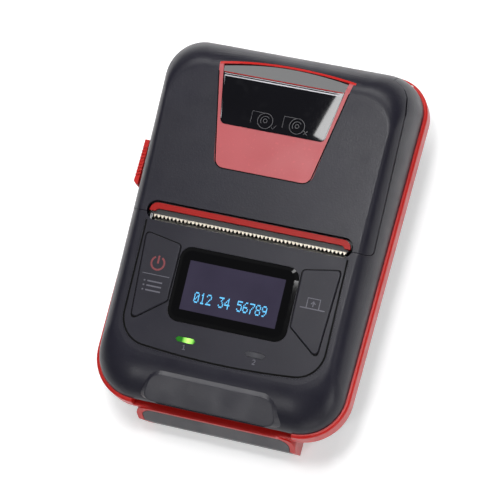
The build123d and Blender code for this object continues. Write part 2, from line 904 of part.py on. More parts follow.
def make_head_springs():
    rear = frame_rear + sheet
    front = platen_y - platen_radius - head_gap - head_thickness - sink_thickness
    springs = []
    middle = (head_low + frame_high) / 2
    for x in (-spring_x, 0, spring_x):
        coil = Cylinder(spring_radius, front - rear) - Cylinder(spring_radius - spring_wall, deep)
        springs.append(Pos(x, (front + rear) / 2, middle) * Rot(90, 0, 0) * coil)
    return springs


def make_motor():
    y, z = motor_centre()
    face_x = side_plate_inner - motor_flange
    can = rod(motor_radius, (face_x - motor_length, face_x), y, z)
    flange = box((face_x, side_plate_inner), (y - 4, y + 4), (z - motor_radius - 2, z + motor_radius))
    return can + flange - rod(motor_shaft_radius + running, (face_x - motor_length / 2, wide), y, z)


def make_panel():
    panel = face_prism(panel_plan(0), -panel_thickness, 0)
    panel -= face_prism(lens_plan(seat), -lens_sunk, above)
    module_hole = rounded_box_plan(module_half + seat, module_low - seat, module_high + seat, 1)
    panel -= face_prism(module_hole, -deep, above)
    for side in (-1, 1):
        panel -= face_prism(button_plan(side, button_slack), -deep, above)
        panel -= face_prism(Pos(side * led_x, led_y) * led_plan(seat), -deep, above)
    return panel


def lens_plan(grow):
    return rounded_box_plan(lens_half + grow, lens_low - grow, lens_high + grow, lens_corner + grow)


def make_lens():
    lens = face_prism(lens_plan(0), -lens_sunk, 0)
    dome = extrude(lens_plan(0), lens_rise, dir=(0, 0, 1), taper=lens_draft)
    return lens + FACE * dome


def make_module():
    low = -lens_sunk - module_depth
    plan = rounded_box_plan(module_half, module_low, module_high, 1)
    return face_prism(plan, low, -lens_sunk) - make_screen()


def make_screen():
    recess = rounded_box_plan(screen_half, screen_low, screen_high, screen_corner)
    return face_prism(recess, -lens_sunk - screen_thickness, -lens_sunk)


def make_button(side):
    flange_top = -panel_thickness - seat
    flange_low = flange_top - button_flange_thickness
    cap = face_prism(button_plan(side, 0), flange_low, button_rise)
    cap = fillet(cap.edges().group_by(Axis((0, 0, 0), face_normal()))[-1], button_round)
    flange = face_prism(button_plan(side, button_slack + button_flange), flange_low, flange_top)
    flange &= face_prism(panel_plan(-ledge_width - 0.2) & button_limit(side), flange_low, flange_top)
    stem_low = board_top + switch_height + button_travel + running
    stem = face_prism(Pos(side * switch_x, switch_y) * Circle(stem_radius), stem_low, flange_top)
    return cap + flange + stem


def button_limit(side):
    """Keeps the button's flange clear of the display module."""
    inner = module_half + 1.2
    place = Pos(side * (inner + panel_half) / 2, (lens_low + lens_high) / 2)
    return place * Rectangle(panel_half - inner, 2 * wide)


def face_normal():
    turn = math.radians(face_tilt)
    return (0, -math.sin(turn), math.cos(turn))


def make_light_pipe(side):
    place = Pos(side * led_x, led_y)
    pipe = face_prism(place * led_plan(0), -panel_thickness - 1, 0.1)
    return pipe + face_prism(place * Rectangle(pipe_foot, led_size), -pipe_depth, -panel_thickness)


def make_leds():
    height = (board_top, -pipe_depth - seat)
    y = (led_y - led_size / 2, led_y + led_size / 2)
    return [face_box((x - led_size, x + led_size), y, height) for x in (-led_x, led_x)]


def make_switches():
    half = switch_size / 2
    parts = []
    for side in (-1, 1):
        x = side * switch_x
        top = board_top + switch_body
        body = face_box((x - half, x + half), (switch_y - half, switch_y + half), (board_top, top))
        tip = Pos(x, switch_y) * Circle(switch_tip)
        parts.append(body + face_prism(tip, top, board_top + switch_height))
    return parts


def make_board():
    low = board_top - board_thickness
    board = face_box((-board_half, board_half), (board_low, board_high), (low, board_top))
    for x in (3 - board_half, board_half - 3):
        for y in (board_low + 6, board_high - 4):
            board -= face_prism(Pos(x, y) * Circle(board_hole), low - 1, board_top + 1)
    return board - screw_boss_space()


def screw_boss_space():
    x, y = screw_places[0]
    return both_sides(post(boss_radius + 0.5, x, y, (0, 2 * face_height)))


def contact_block(grow):
    """Block that holds the contacts at the inner end of the battery bay."""
    half = contact_half + grow
    low = contact_y - 6 * grow
    return box((-half, half), (low, contact_y + contact_depth + grow), (floor_wall, contact_top + grow))


def make_contacts():
    block = contact_block(0)
    for x in contact_xs:
        finger = box((x - 1, x + 1), (battery_high + seat, contact_y + 0.5), (contact_low, contact_high))
        block += finger
    return block


def make_battery():
    pack = foot_block(battery_half, battery_top, battery_corner, battery_low, battery_high)
    pack &= foot_slope()
    pack -= box((-wide, wide), (2 * battery_low, 0), (-1, battery_bottom))
    pack += rails(0, foot_low + foot_depth + 0.5, battery_high)
    for pad in make_terminals():
        pack -= pad + Pos(0, 1, 0) * pad
    return pack


def make_terminals():
    """Flush contact pads in the inner end of the battery."""
    half = contact_pad / 2 + 0.3
    height = (contact_low - 0.4, contact_high + 0.4)
    depth = (battery_high - 0.3, battery_high - seat)
    return [box((x - half, x + half), depth, height) for x in contact_xs]


def side_x(y):
    """Outer half width of the red frame at y."""
    share = (y - trim_y_low) / (trim_y_high - trim_y_low)
    return trim_half_low + (trim_half_high - trim_half_low) * share


def make_lever():
    inner = -side_x(lever_high + lever_travel) - 0.25
    outer = inner - lever_reach
    points = [(lever_low, inner), (lever_high, inner), (lever_high, outer)]
    points += [(lever_low + lever_chamfer, outer), (lever_low, outer + lever_chamfer)]
    plan = make_face(Polyline(*[(x, y) for y, x in points], close=True))
    pad = Pos(0, 0, lever_bottom) * extrude(plan, lever_top - lever_bottom, dir=(0, 0, 1))
    for index in range(rib_count):
        y = lever_low + rib_start + index * rib_pitch
        groove = Rot(0, 0, rib_turn) * Box(3 * lever_reach, 0.6, 0.8)
        pad -= Pos(outer + lever_reach / 2, y, lever_top) * groove
    neck = box((inner - 0.1, -slide_outer()), (neck_low, neck_high), (neck_bottom, neck_top))
    return pad + neck


def slide_outer():
    """Outer face of the latch slide, clear of the red frame over the slide's whole way."""
    ends = (return_stop, slide_high + lever_travel)
    return min(side_x(y) for y in ends) - trim_wall - slide_gap


def make_latch_slide():
    outer = -slide_outer()
    low = neck_bottom - 1
    catch = (catch_y, catch_y + catch_width)
    plate = box((outer, outer + slide_wall), (slide_low, slide_high), (low, neck_top + 0.6))
    riser = box((outer + slide_wall / 2, outer + slide_wall + 1), catch, (low, catch_z))
    top = (catch_z, catch_z + catch_thickness)
    finger = box((outer + slide_wall / 2, -tab_x + tab_width / 2), catch, top)
    return plate + riser + finger


def make_latch_spring():
    coil = Cylinder(return_radius, slide_low - return_stop) - Cylinder(return_bore, wide)
    place = Pos(-slide_outer() + slide_wall, (slide_low + return_stop) / 2, return_z)
    return place * Rot(90, 0, 0) * coil


def make_case_screws():
    screws = []
    for place_x, y in screw_places:
        for x in (-place_x, place_x):
            top = floor_wall + screw_sunk
            low = top - screw_head_height
            head = post(screw_head_radius, x, y, (low, top)) - post(screw_socket, x, y, (low - 1, low + 1))
            shank = post(thread_radius, x, y, (low + 1, boss_split + screw_grip))
            screws.append(head + shank)
    return screws


def make_io_board():
    half_x = io_width / 2
    half_y = io_length / 2
    along = (io_y - half_y, io_y + half_y)
    return box((io_x - half_x, io_x + half_x), along, (io_z, io_z + board_thickness))


def make_usb():
    low = usb_low()
    y = io_y + socket_spread
    half = usb_width / 2
    front = io_x - socket_front
    shell = box((front, io_x + 1), (y - half, y + half), (low, low + usb_height))
    bore_y = (y - half + usb_wall, y + half - usb_wall)
    shell -= box((front - 1, io_x - 1), bore_y, (low + usb_wall, low + usb_height - usb_wall))
    middle = low + usb_height / 2
    tongue = (y - usb_tongue / 2, y + usb_tongue / 2)
    return shell + box((front + 3, io_x), tongue, (middle - 0.3, middle + 0.3))


def make_jack():
    y = io_y - socket_spread
    z = usb_low() + jack_radius
    front = io_x - socket_front
    body = rod(jack_radius, (front, io_x + 4), y, z)
    body += box((front + 4, io_x + 4), (y - jack_radius, y + jack_radius), (usb_low(), z))
    body -= rod(jack_bore, (front - 1, io_x + 2), y, z)
    return body + rod(jack_pin, (front + 3, io_x + 3), y, z)


def make_paper_sensor():
    half = sensor_size / 2
    top = guide_top - guide_drop - sheet
    sensor_y = (platen_y - 2, platen_y + 3)
    return box((sensor_x - half, sensor_x + half), sensor_y, (top - sensor_height, top))


def make_stud():
    y, z = drive_centre()
    head_low_x = wheel_inner + wheel_width + seat
    stud = rod(stud_radius, (side_plate_inner, head_low_x + stud_head_width), y, z)
    return stud + rod(stud_head, (head_low_x, head_low_x + stud_head_width), y, z)


def write(name, shape):
    """Writes one sub-part; a list becomes a group of separate solids."""
    if isinstance(shape, list):
        shape = Compound(children=[solid for part in shape for solid in part.solids()])
    shape.label = name
    export_step(shape, os.path.join("parts", name + ".step"))


def main():
    os.makedirs("parts", exist_ok=True)
    outer = front_form(0)
    inner = front_form(shell_wall)
    write("back_shell", make_back_shell())
    write("mid_frame", make_mid_frame())
    write("front_shell", make_front_shell(outer, inner))
    write("cover_shell", make_cover_shell(outer, inner))
    window_prism = face_prism(window_plan(0), -deep, above)
    write("bezel", bezel_patch() - window_prism)
    write("window", bezel_patch() & window_prism)
    write("slot_lip", make_lip())
    write("tear_bar", make_tear_bar())
    write("platen_carrier", make_carrier())
    write("cover_screws", make_cover_screws())
    write("platen_bushes", make_bushes())
    write("hinge_pin", rod(pin_radius, (-pin_half, pin_half), hinge_y, hinge_z))
    write("control_panel", make_panel())
    write("display_lens", make_lens())
    write("display_module", make_module())
    write("display_screen", make_screen())
    write("mode_button", make_button(-1))
    write("feed_button", make_button(1))
    write("power_led_lens", make_light_pipe(-1))
    write("alert_led_lens", make_light_pipe(1))
    write("indicator_leds", make_leds())
    write("button_switches", make_switches())
    write("main_board", make_board())
    write("mech_frame", make_mech_frame())
    write("thermal_head", make_head())
    write("heat_sink", make_heat_sink())
    write("head_springs", make_head_springs())
    write("drive_motor", make_motor())
    write("motor_shaft", make_motor_shaft())
    write("motor_pinion", make_pinion())
    write("reduction_gear", make_reduction_gear())
    write("gear_stud", make_stud())
    write("platen_shaft", make_platen_shaft())
    write("platen_rubber", make_platen_rubber())
    write("platen_gear", make_platen_gear())
    write("paper_guide", make_paper_guide())
    write("paper_sensor", make_paper_sensor())
    write("roll_tub", make_tub())
    write("battery_pack", make_battery())
    write("battery_terminals", make_terminals())
    write("battery_contacts", make_contacts())
    write("release_lever", make_lever())
    write("latch_slide", make_latch_slide())
    write("latch_spring", make_latch_spring())
    write("case_screws", make_case_screws())
    write("io_board", make_io_board())
    write("usb_port", make_usb())
    write("charging_jack", make_jack())


if __name__ == "__main__":
    main()
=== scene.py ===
import json
import logging
import math
from dataclasses import dataclass
from enum import Enum
from functools import cache

import bmesh
import bpy
import numpy as np
from mathutils import Matrix, Vector


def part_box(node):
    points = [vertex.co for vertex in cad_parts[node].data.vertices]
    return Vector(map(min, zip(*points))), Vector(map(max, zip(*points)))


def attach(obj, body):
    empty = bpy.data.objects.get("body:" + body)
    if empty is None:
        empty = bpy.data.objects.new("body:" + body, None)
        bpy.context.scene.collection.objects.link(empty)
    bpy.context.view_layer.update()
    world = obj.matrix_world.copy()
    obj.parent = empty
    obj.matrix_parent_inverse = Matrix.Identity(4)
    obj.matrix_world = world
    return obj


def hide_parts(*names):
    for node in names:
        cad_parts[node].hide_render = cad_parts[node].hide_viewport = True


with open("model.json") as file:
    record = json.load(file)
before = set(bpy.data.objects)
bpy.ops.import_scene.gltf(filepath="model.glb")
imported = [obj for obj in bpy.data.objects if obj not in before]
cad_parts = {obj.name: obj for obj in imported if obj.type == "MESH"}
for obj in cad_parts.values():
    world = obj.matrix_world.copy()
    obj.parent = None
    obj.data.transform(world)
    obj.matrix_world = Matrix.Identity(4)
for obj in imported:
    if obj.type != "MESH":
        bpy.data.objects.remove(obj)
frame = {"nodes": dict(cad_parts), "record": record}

# Looks of the portable thermal printer. Sizes on the front are millimetres in the plane of its face.
# Everything handed to Blender is in metres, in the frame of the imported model.
MM = 0.001
log = logging.getLogger("printer")

# An Arc is a radius, its first and last angle in degrees, and how many points it has.
Triple = tuple[float, float, float]
Colour = Triple
Pair = tuple[float, float]
Path = tuple[Pair, ...]
Runs = tuple[Path, ...]
Arc = tuple[float, float, float, int]
Shape = tuple[np.ndarray, list]
Socket = bpy.types.NodeSocket
Feed = dict[str | int, object]

# Spans of a noise's value: nearly all of it, its middle, a steep step, and its peaks alone.
WIDE, MIDDLE, STEEP, PEAKS = (0.3, 0.7), (0.35, 0.65), (0.4, 0.6), (0.62, 0.75)
UNIT = (0.0, 1.0)
SOFT = 0.08  # half the width of a printed border

SUNK = -0.05  # underside of trim on the face
INK_SUNK, INK_TOP = -0.02, 0.02  # underside and top of a print
ARC_STEPS = 24
CORNER_STEPS = 9
BEND_STEPS = 7
EDGE_STEPS = 6
BEVEL_SAMPLES = 4
COIL_STEPS, WIRE_SIDES, COIL_EASE = 16, 8, 0.06
LED_PLACE = 14.9


class Grain(Enum):
    """Kinds of surface that the printer's parts have."""

    MOULDED = "fine spark-eroded plastic"
    GLOSSY = "polished plastic"
    RUBBER = "ground or keypad rubber"
    BRUSHED = "metal with lines along one axis"
    PLATED = "plated sheet or cast metal"
    GLAZED = "ceramic or bare resin"
    BOARD = "circuit board with its tracks"


class Tree:
    """A node tree, with short calls for the nodes that the finishes and the studio share."""

    def __init__(self, tree: bpy.types.NodeTree) -> None:
        """Empties the tree."""
        self.tree = tree
        tree.nodes.clear()

    def node(self, kind: str, inputs: Feed | None = None, **settings: object) -> bpy.types.Node:
        """Adds a node.

        Args:
            kind: the node's type.
            inputs: what feeds its inputs.
            settings: its own settings.

        Returns:
            The new node.
        """
        node = self.tree.nodes.new(kind)
        for key, value in settings.items():
            setattr(node, key, value)
        self.feed(node, inputs or {})
        return node

    def feed(self, node: bpy.types.Node, inputs: Feed) -> None:
        """Links inputs of a node, or sets plain values on them.

        Args:
            node: the node.
            inputs: a socket or a value for each input, by its name or number.
        """
        for key, value in inputs.items():
            if isinstance(value, Socket):
                self.tree.links.new(value, node.inputs[key])
            else:
                node.inputs[key].default_value = value

    def remap(self, value: Socket, span: Pair, onto: Pair = UNIT) -> Socket:
        """Carries a value linearly from one span onto another, held at both ends."""
        ends = {"From Min": span[0], "From Max": span[1], "To Min": onto[0], "To Max": onto[1]}
        return self.node("ShaderNodeMapRange", {"Value": value, **ends}).outputs["Result"]

    def mix(self, share: Socket, *colours: Socket | Colour) -> Socket:
        """Mixes two colours by the share of the second."""
        ends = {6 + k: c if isinstance(c, Socket) else (*c, 1.0) for k, c in enumerate(colours)}
        return self.node("ShaderNodeMix", {0: share, **ends}, data_type="RGBA").outputs[2]

    def maths(self, kind: str, first: Socket, second: Socket | float = 0.0) -> Socket:
        """One arithmetic step on two values."""
        return self.node("ShaderNodeMath", {0: first, 1: second}, operation=kind).outputs[0]


class Shader(Tree):
    """Node tree of one material, in the object's own coordinates."""

    def __init__(self, name: str) -> None:
        """Starts a material with a surface shader.

        Args:
            name: the material's name.
        """
        self.material = bpy.data.materials.new(name)
        self.material.use_nodes = True
        super().__init__(self.material.node_tree)
        self.surface = self.node("ShaderNodeBsdfPrincipled")
        self.node("ShaderNodeOutputMaterial", {"Surface": self.surface.outputs["BSDF"]})
        self.place = self.node("ShaderNodeTexCoord").outputs["Object"]

    def noise(self, size: float, detail: float = 2.0, stretch: Triple = (1, 1, 1)) -> Socket:
        """Noise whose lumps are drawn out along the axes.

        Args:
            size: distance between lumps in millimetres.
            detail: number of finer layers.
            stretch: how much longer the lumps are along X, Y and Z.

        Returns:
            The value socket, from 0 to 1.
        """
        mapping = self.node("ShaderNodeMapping", {"Scale": [1 / s for s in stretch], "Vector": self.place})
        inputs = {"Scale": 1 / (size * MM), "Detail": detail, "Vector": mapping.outputs["Vector"]}
        return self.node("ShaderNodeTexNoise", inputs).outputs["Fac"]

    def axis(self, index: int) -> Socket:
        """One of the three object coordinates, in metres."""
        return self.node("ShaderNodeSeparateXYZ", {0: self.place}).outputs[index]

    def within(self, index: int, low: float, high: float) -> Socket:
        """1 where a coordinate lies between two places, 0 outside, with a soft edge.

        Args:
            index: number of the coordinate.
            low: where the span starts, in millimetres.
            high: where it ends.

        Returns:
            The value socket.
        """
        steps = [self.remap(self.axis(index), ((place - SOFT) * MM, (place + SOFT) * MM), onto)
                 for place, onto in ((low, UNIT), (high, UNIT[::-1]))]
        return self.maths("MULTIPLY", *steps)

    def shine(self, colour: Socket, strength: float) -> Socket:
        """Lets the surface glow in a colour, and hands the colour back."""
        self.feed(self.surface, {"Emission Color": colour, "Emission Strength": strength})
        return colour

    def relief(self, height: Socket, depth: float, strength: float, edge: float) -> None:
        """Gives the surface its fine relief, and bends the normal near edges as a small radius there would.

        Args:
            height: pattern of the relief, from 0 to 1.
            depth: depth of the relief in millimetres.
            strength: share of the relief that shows.
            edge: radius of the edge's rounding in millimetres.
        """
        bump = self.node("ShaderNodeBump", {"Strength": strength, "Distance": depth * MM, "Height": height})
        if edge:
            bevel = self.node("ShaderNodeBevel", {"Radius": edge * MM}, samples=BEVEL_SAMPLES)
            self.feed(bump, {"Normal": bevel.outputs["Normal"]})
        self.feed(self.surface, {"Normal": bump.outputs["Normal"]})


@dataclass(frozen=True)
class Finish:
    """One finish: its colour, gloss, relief and the small unevenness that a moulded or cut part has."""

    name: str
    grain: Grain
    colour: Colour
    roughness: float
    metallic: float = 0.0
    specular: float = 0.5
    coat: float = 0.0
    coat_roughness: float = 0.1
    lump: float = 0.5
    depth: float = 0.03
    strength: float = 0.3
    edge: float = 0.2
    mottle: float = 0.08
    drift_size: float = 28.0
    gloss_size: float = 9.0
    gloss_spread: float = 0.12
    speckle_share: float = 0.25
    speckle_gain: Pair = (1.5, 0.01)
    brush_length: float = 60.0
    track_gap: float = 0.08

    def material(self) -> bpy.types.Material:
        """Makes the node material.

        Returns:
            The finished material.
        """
        shader = Shader("dressed_" + self.name)
        gloss = (self.roughness * (1 - self.gloss_spread), min(self.roughness * (1 + self.gloss_spread), 1.0))
        shader.feed(shader.surface, {
            "Metallic": self.metallic,
            "Specular IOR Level": self.specular,
            "Coat Weight": self.coat,
            "Coat Roughness": self.coat_roughness,
            "Base Color": self.tint(shader),
            "Roughness": shader.remap(shader.noise(self.gloss_size, 3.0), WIDE, gloss),
        })
        shader.relief(self.pattern(shader), self.depth, self.strength, self.edge)
        return shader.material

    def tint(self, shader: Shader) -> Socket:
        """Colour with a slow drift over the part and a finer speckle.

        Args:
            shader: the material's tree.

        Returns:
            The colour socket.
        """
        dark = tuple(c * (1 - self.mottle) for c in self.colour)
        light = tuple(min(c * (1 + self.mottle), 1.0) for c in self.colour)
        drift = shader.mix(shader.remap(shader.noise(self.drift_size), MIDDLE), dark, light)
        speckle = shader.remap(shader.noise(self.lump, 1.0), PEAKS, (0.0, self.speckle_share))
        gain, lift = self.speckle_gain
        return shader.mix(speckle, drift, tuple(min(c * gain + lift, 1.0) for c in self.colour))

    def pattern(self, shader: Shader) -> Socket:
        """Height pattern of the kind of surface.

        Args:
            shader: the material's tree.

        Returns:
            The value socket, from 0 to 1.
        """
        if self.grain is Grain.BRUSHED:
            return shader.noise(self.lump, 3.0, (self.brush_length, 1.0, 1.0))
        if self.grain is Grain.BOARD:
            inputs = {"Scale": 1 / (self.lump * MM), "Mortar Size": self.track_gap, "Vector": shader.place}
            return shader.node("ShaderNodeTexBrick", inputs).outputs["Fac"]
        return shader.noise(self.lump)


@dataclass(frozen=True)
class DisplayGlass(Finish):
    """Black printed lens with the lit area of the display showing through its clear part."""

    area_half: float = 20.4
    area_low: float = -37.5
    area_high: float = -17.2
    area_colour: Colour = (0.036, 0.031, 0.054)
    area_shade: float = 0.85
    area_drift: float = 14.0
    area_glow: float = 0.25

    def tint(self, shader: Shader) -> Socket:
        """Black print, and inside the clear part the display's own grey-violet with a slow drift.

        Args:
            shader: the material's tree.

        Returns:
            The colour socket.
        """
        across = shader.within(0, -self.area_half, self.area_half)
        inside = shader.maths("MULTIPLY", across, shader.within(1, self.area_low, self.area_high))
        drift = shader.remap(shader.noise(self.area_drift), WIDE)
        lit = shader.mix(drift, tuple(self.area_shade * c for c in self.area_colour), self.area_colour)
        shader.shine(shader.mix(inside, (0.0, 0.0, 0.0), lit), self.area_glow)
        return shader.mix(inside, self.colour, lit)


@dataclass(frozen=True)
class LightPipe(Finish):
    """Clear lens of an indicator, brightest over its lamp."""

    centre: float = 0.0
    core: Colour = (0.42, 1.0, 0.16)
    rim: Colour = (0.012, 0.11, 0.008)
    glow: float = 0.8
    core_half: float = 0.4
    reach: float = 2.7

    def tint(self, shader: Shader) -> Socket:
        """Colour that fades from the lamp's core to the ends of the lens.

        Args:
            shader: the material's tree.

        Returns:
            The colour socket.
        """
        away = shader.maths("ABSOLUTE", shader.maths("SUBTRACT", shader.axis(0), self.centre * MM))
        share = shader.remap(away, (self.core_half * MM, self.reach * MM))
        return shader.shine(shader.mix(share, self.core, self.rim), self.glow)


@dataclass(frozen=True)
class Ink(Finish):
    """Thin printed or lit mark, with the unevenness of ink on a textured part."""

    glow: float = 0.0
    thin: float = 0.86
    grit: float = 0.7

    def tint(self, shader: Shader) -> Socket:
        """Ink colour, broken up a little by the relief below it."""
        ink = shader.mix(shader.remap(shader.noise(self.grit), STEEP), self.thinned(), self.colour)
        return shader.shine(ink, self.glow) if self.glow else ink

    def thinned(self) -> Colour:
        """Colour of the ink where it is thin."""
        return tuple(self.thin * c for c in self.colour)


MOULDED, GLOSSY, RUBBER = Grain.MOULDED, Grain.GLOSSY, Grain.RUBBER
BRUSHED, PLATED, GLAZED, BOARD = Grain.BRUSHED, Grain.PLATED, Grain.GLAZED, Grain.BOARD
SMOOTH = {"strength": 0.0, "edge": 0.0}
FAINT = {"strength": 0.1, "edge": 0.0}
PANEL_GREY = (0.0145, 0.0138, 0.0225)
SATIN = {"specular": 0.3, "depth": 0.04, "strength": 0.4}
RED = {"lump": 1.2, "strength": 0.05, "mottle": 0.04}
METAL = {"metallic": 1.0, "depth": 0.01}

FINISHES: dict[str, Finish] = {finish.name: finish for finish in (
    Finish("black_shell", MOULDED, (0.0135, 0.0128, 0.0215), 0.37, specular=0.3, lump=0.8, depth=0.06,
           strength=0.6),
    Finish("boss_plastic", MOULDED, PANEL_GREY, 0.42, specular=0.6, lump=0.8, depth=0.05, strength=0.6),
    Finish("panel_plastic", MOULDED, PANEL_GREY, 0.38, edge=0.12, **SATIN),
    Finish("button_rubber", RUBBER, PANEL_GREY, 0.4, edge=0.1, **SATIN),
    Finish("red_plastic", GLOSSY, (0.56, 0.012, 0.009), 0.34, specular=0.3, edge=0.25, **RED),
    # The bezel's satin red with a pale painted sheen in its colour, paler and pinker than the red trim.
    Finish("bezel_red_painted_sheen", GLOSSY, (0.42, 0.042, 0.052), 0.45, specular=0.75, **RED),
    # The red trim darkened: painted shade on the slot lip, and the colour of the painted red glint in the
    # window's bend.
    Finish("dark_red_painted_shade_and_glint", GLOSSY, (0.34, 0.008, 0.006), 0.4, specular=0.2, **RED),
    Finish("blade_steel", PLATED, (0.74, 0.67, 0.56), 0.45, metallic=0.4, lump=1.5, depth=0.01,
           mottle=0.03, **FAINT),
    DisplayGlass("lens_black", GLOSSY, (0.003, 0.003, 0.0035), 0.045, mottle=0.0, **SMOOTH),
    Finish("smoke_clear", GLOSSY, (0.006, 0.006, 0.008), 0.022, lump=6.0, **SMOOTH),
    Finish("screen", GLOSSY, (0.07, 0.06, 0.1), 0.3, **SMOOTH),
    LightPipe("led_green", GLOSSY, (0.1, 0.6, 0.05), 0.15, strength=0.0, centre=1.2 - LED_PLACE),
    LightPipe("led_clear", GLOSSY, (0.2, 0.2, 0.22), 0.2, strength=0.0, centre=LED_PLACE,
              core=(0.07, 0.07, 0.08), rim=(0.05, 0.05, 0.058), glow=0.0),
    Finish("frame_plastic", MOULDED, (0.03, 0.03, 0.033), 0.5, strength=0.2),
    Finish("steel", BRUSHED, (0.78, 0.76, 0.72), 0.28, lump=0.12, edge=0.08, **METAL),
    Finish("zinc_steel", PLATED, (0.62, 0.62, 0.63), 0.38, metallic=1.0, lump=2.5, depth=0.02,
           edge=0.1, mottle=0.12),
    Finish("aluminium", BRUSHED, (0.8, 0.8, 0.81), 0.3, lump=0.1, **METAL),
    Finish("ceramic", GLAZED, (0.72, 0.69, 0.62), 0.22, lump=2.0, strength=0.05, edge=0.1),
    Finish("platen_rubber", RUBBER, (0.028, 0.028, 0.029), 0.75, lump=0.2, strength=0.4),
    Finish("gear_plastic", MOULDED, (0.8, 0.78, 0.7), 0.42, strength=0.1, edge=0.06, mottle=0.04),
    Finish("board_green", BOARD, (0.02, 0.16, 0.05), 0.35, lump=6.0, depth=0.05, edge=0.1, coat=0.4),
    Finish("brass", BRUSHED, (0.8, 0.58, 0.24), 0.25, lump=0.15, edge=0.06, **METAL),
    Finish("battery_plastic", MOULDED, (0.035, 0.034, 0.042), 0.5, edge=0.3),
    # Near-black for the strips along the joints round the keys, the panel and the bezel: painted shade in the
    # gaps.
    Finish("gap_painted_shade", MOULDED, (0.003, 0.003, 0.003), 0.7, specular=0.1, **FAINT),
    Ink("key_ink", MOULDED, (0.11, 0.107, 0.135), 0.5, **FAINT),
    Ink("power_ink", MOULDED, (0.21, 0.03, 0.038), 0.45, **FAINT),
    Ink("display_ink", GLOSSY, (0.1, 0.42, 0.72), 0.2, glow=0.75, **SMOOTH),
    # Pale glossy colour for the window's ridges and left edge: painted highlights.
    Finish("ridge_painted_highlight", GLOSSY, (0.5, 0.49, 0.52), 0.2, mottle=0.3, **SMOOTH),
    Ink("window_ink", GLOSSY, (0.035, 0.033, 0.04), 0.3, **SMOOTH),
)}


@dataclass(frozen=True)
class Face:
    """Plane of the printer's front: its height over the back and its tilt about X."""

    height: float = 49.0
    tilt: float = 6.4

    def to_row(self, points: np.ndarray) -> np.ndarray:
        """Turns face coordinates in millimetres into the row frame in metres.

        The point (x, y, z) goes to (x, y cos t - z sin t, height + y sin t + z cos t).

        Args:
            points: array of shape (..., 3), in the plane of the face with z out of it.

        Returns:
            Array of shape (n, 3), in metres.
        """
        turn = math.radians(self.tilt)
        x, y, z = points.reshape(-1, 3).T
        along = y * math.cos(turn) - z * math.sin(turn)
        up = self.height + y * math.sin(turn) + z * math.cos(turn)
        return np.stack([x, along, up], axis=1) * MM

    def point(self, x: float, y: float) -> Vector:
        """A place on the face, in the row frame."""
        return Vector(self.to_row(np.array([x, y, 0.0]))[0])

    def normal(self) -> Vector:
        """Direction out of the face."""
        turn = math.radians(self.tilt)
        return Vector((0.0, -math.sin(turn), math.cos(turn)))


FACE = Face()


def add_object(name: str, data: bpy.types.ID) -> bpy.types.Object:
    """Makes an object and puts it into the scene.

    Args:
        name: the object's name.
        data: its mesh, camera or lamp.

    Returns:
        The new object.
    """
    thing = bpy.data.objects.new(name, data)
    bpy.context.scene.collection.objects.link(thing)
    return thing


def add_piece(name: str, shape: Shape, body: str, slot: str, finish: str = "") -> bpy.types.Object:
    """Puts a mesh into the scene, points its faces outwards, and hangs it on a body.

    Args:
        name: the piece's name.
        shape: its points in metres and its faces.
        body: the CAD body that it rides on.
        slot: the record's material slot that it takes its finish from.
        finish: name of its own finish, where that isn't the slot's.

    Returns:
        The new object.
    """
    points, faces = shape
    mesh = bpy.data.meshes.new(name)
    mesh.from_pydata(points.tolist(), [], faces)
    shell = bmesh.new()
    shell.from_mesh(mesh)
    bmesh.ops.recalc_face_normals(shell, faces=shell.faces)
    shell.to_mesh(mesh)
    shell.free()
    piece = add_object(name, mesh)
    mesh.materials.append(finished(finish or slot))
    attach(piece, body)
    log.info("%s: %d points, %d faces, rides on %s", name, len(points), len(faces), body)
    return piece


@cache
def finished(name: str) -> bpy.types.Material:
    """The material of a finish, made the first time that it is asked for."""
    return FINISHES[name].material()


def sleeve_faces(rows: int, columns: int, closed: bool = False) -> list[list[int]]:
    """Faces of a grid that wraps round in its columns, with its two ends capped unless it is closed.

    Args:
        rows: sections along the path.
        columns: points round one section.
        closed: whether the last section joins the first.

    Returns:
        Vertex numbers of each face.
    """
    row = np.arange(rows if closed else rows - 1)[:, None]
    column = np.arange(columns)[None, :]
    after_row = (row + 1) % rows
    after_column = (column + 1) % columns
    corners = [row * columns + column, row * columns + after_column]
    corners += [after_row * columns + after_column, after_row * columns + column]
    faces = np.stack([c.ravel() for c in corners], axis=1).tolist()
    if not closed:
        faces.append(list(range(columns)))
        faces.append([(rows - 1) * columns + k for k in range(columns)])
    return faces


def merge(parts: list[Shape]) -> Shape:
    """Joins several shapes into one, each keeping its own closed shell.

    Args:
        parts: points and faces of each.

    Returns:
        Points and faces of all.
    """
    points = np.concatenate([p for p, _ in parts])
    starts = np.cumsum([0] + [len(p) for p, _ in parts[:-1]])
    faces = [[int(start) + k for k in face] for start, (_, group) in zip(starts, parts) for face in group]
    return points, faces


def stroke(path: np.ndarray, width: float, low: float, high: float, closed: bool = False) -> Shape:
    """Flat band along a path on the face: p(u, k) = c(u) + n(u) a(k) width / 2, at height b(k).

    c is the path, n its normal, and (a, b) run round the four corners of the band's section.

    Args:
        path: array of shape (n, 2), in face millimetres.
        width: width of the band.
        low: height of its underside over the face.
        high: height of its top.
        closed: whether the path joins up.

    Returns:
        Points in metres and faces.
    """
    if closed:
        tangent = np.roll(path, -1, axis=0) - np.roll(path, 1, axis=0)
    else:
        tangent = np.gradient(path, axis=0)
    tangent = tangent / np.linalg.norm(tangent, axis=1, keepdims=True)
    normal = np.stack([-tangent[:, 1], tangent[:, 0]], axis=1)
    side = np.array([-0.5, 0.5, 0.5, -0.5]) * width
    height = np.array([low, low, high, high])
    flat = path[:, None, :] + normal[:, None, :] * side[None, :, None]
    up = np.broadcast_to(height[None, :, None], (len(path), 4, 1))
    return FACE.to_row(np.concatenate([flat, up], axis=2)), sleeve_faces(len(path), 4, closed)


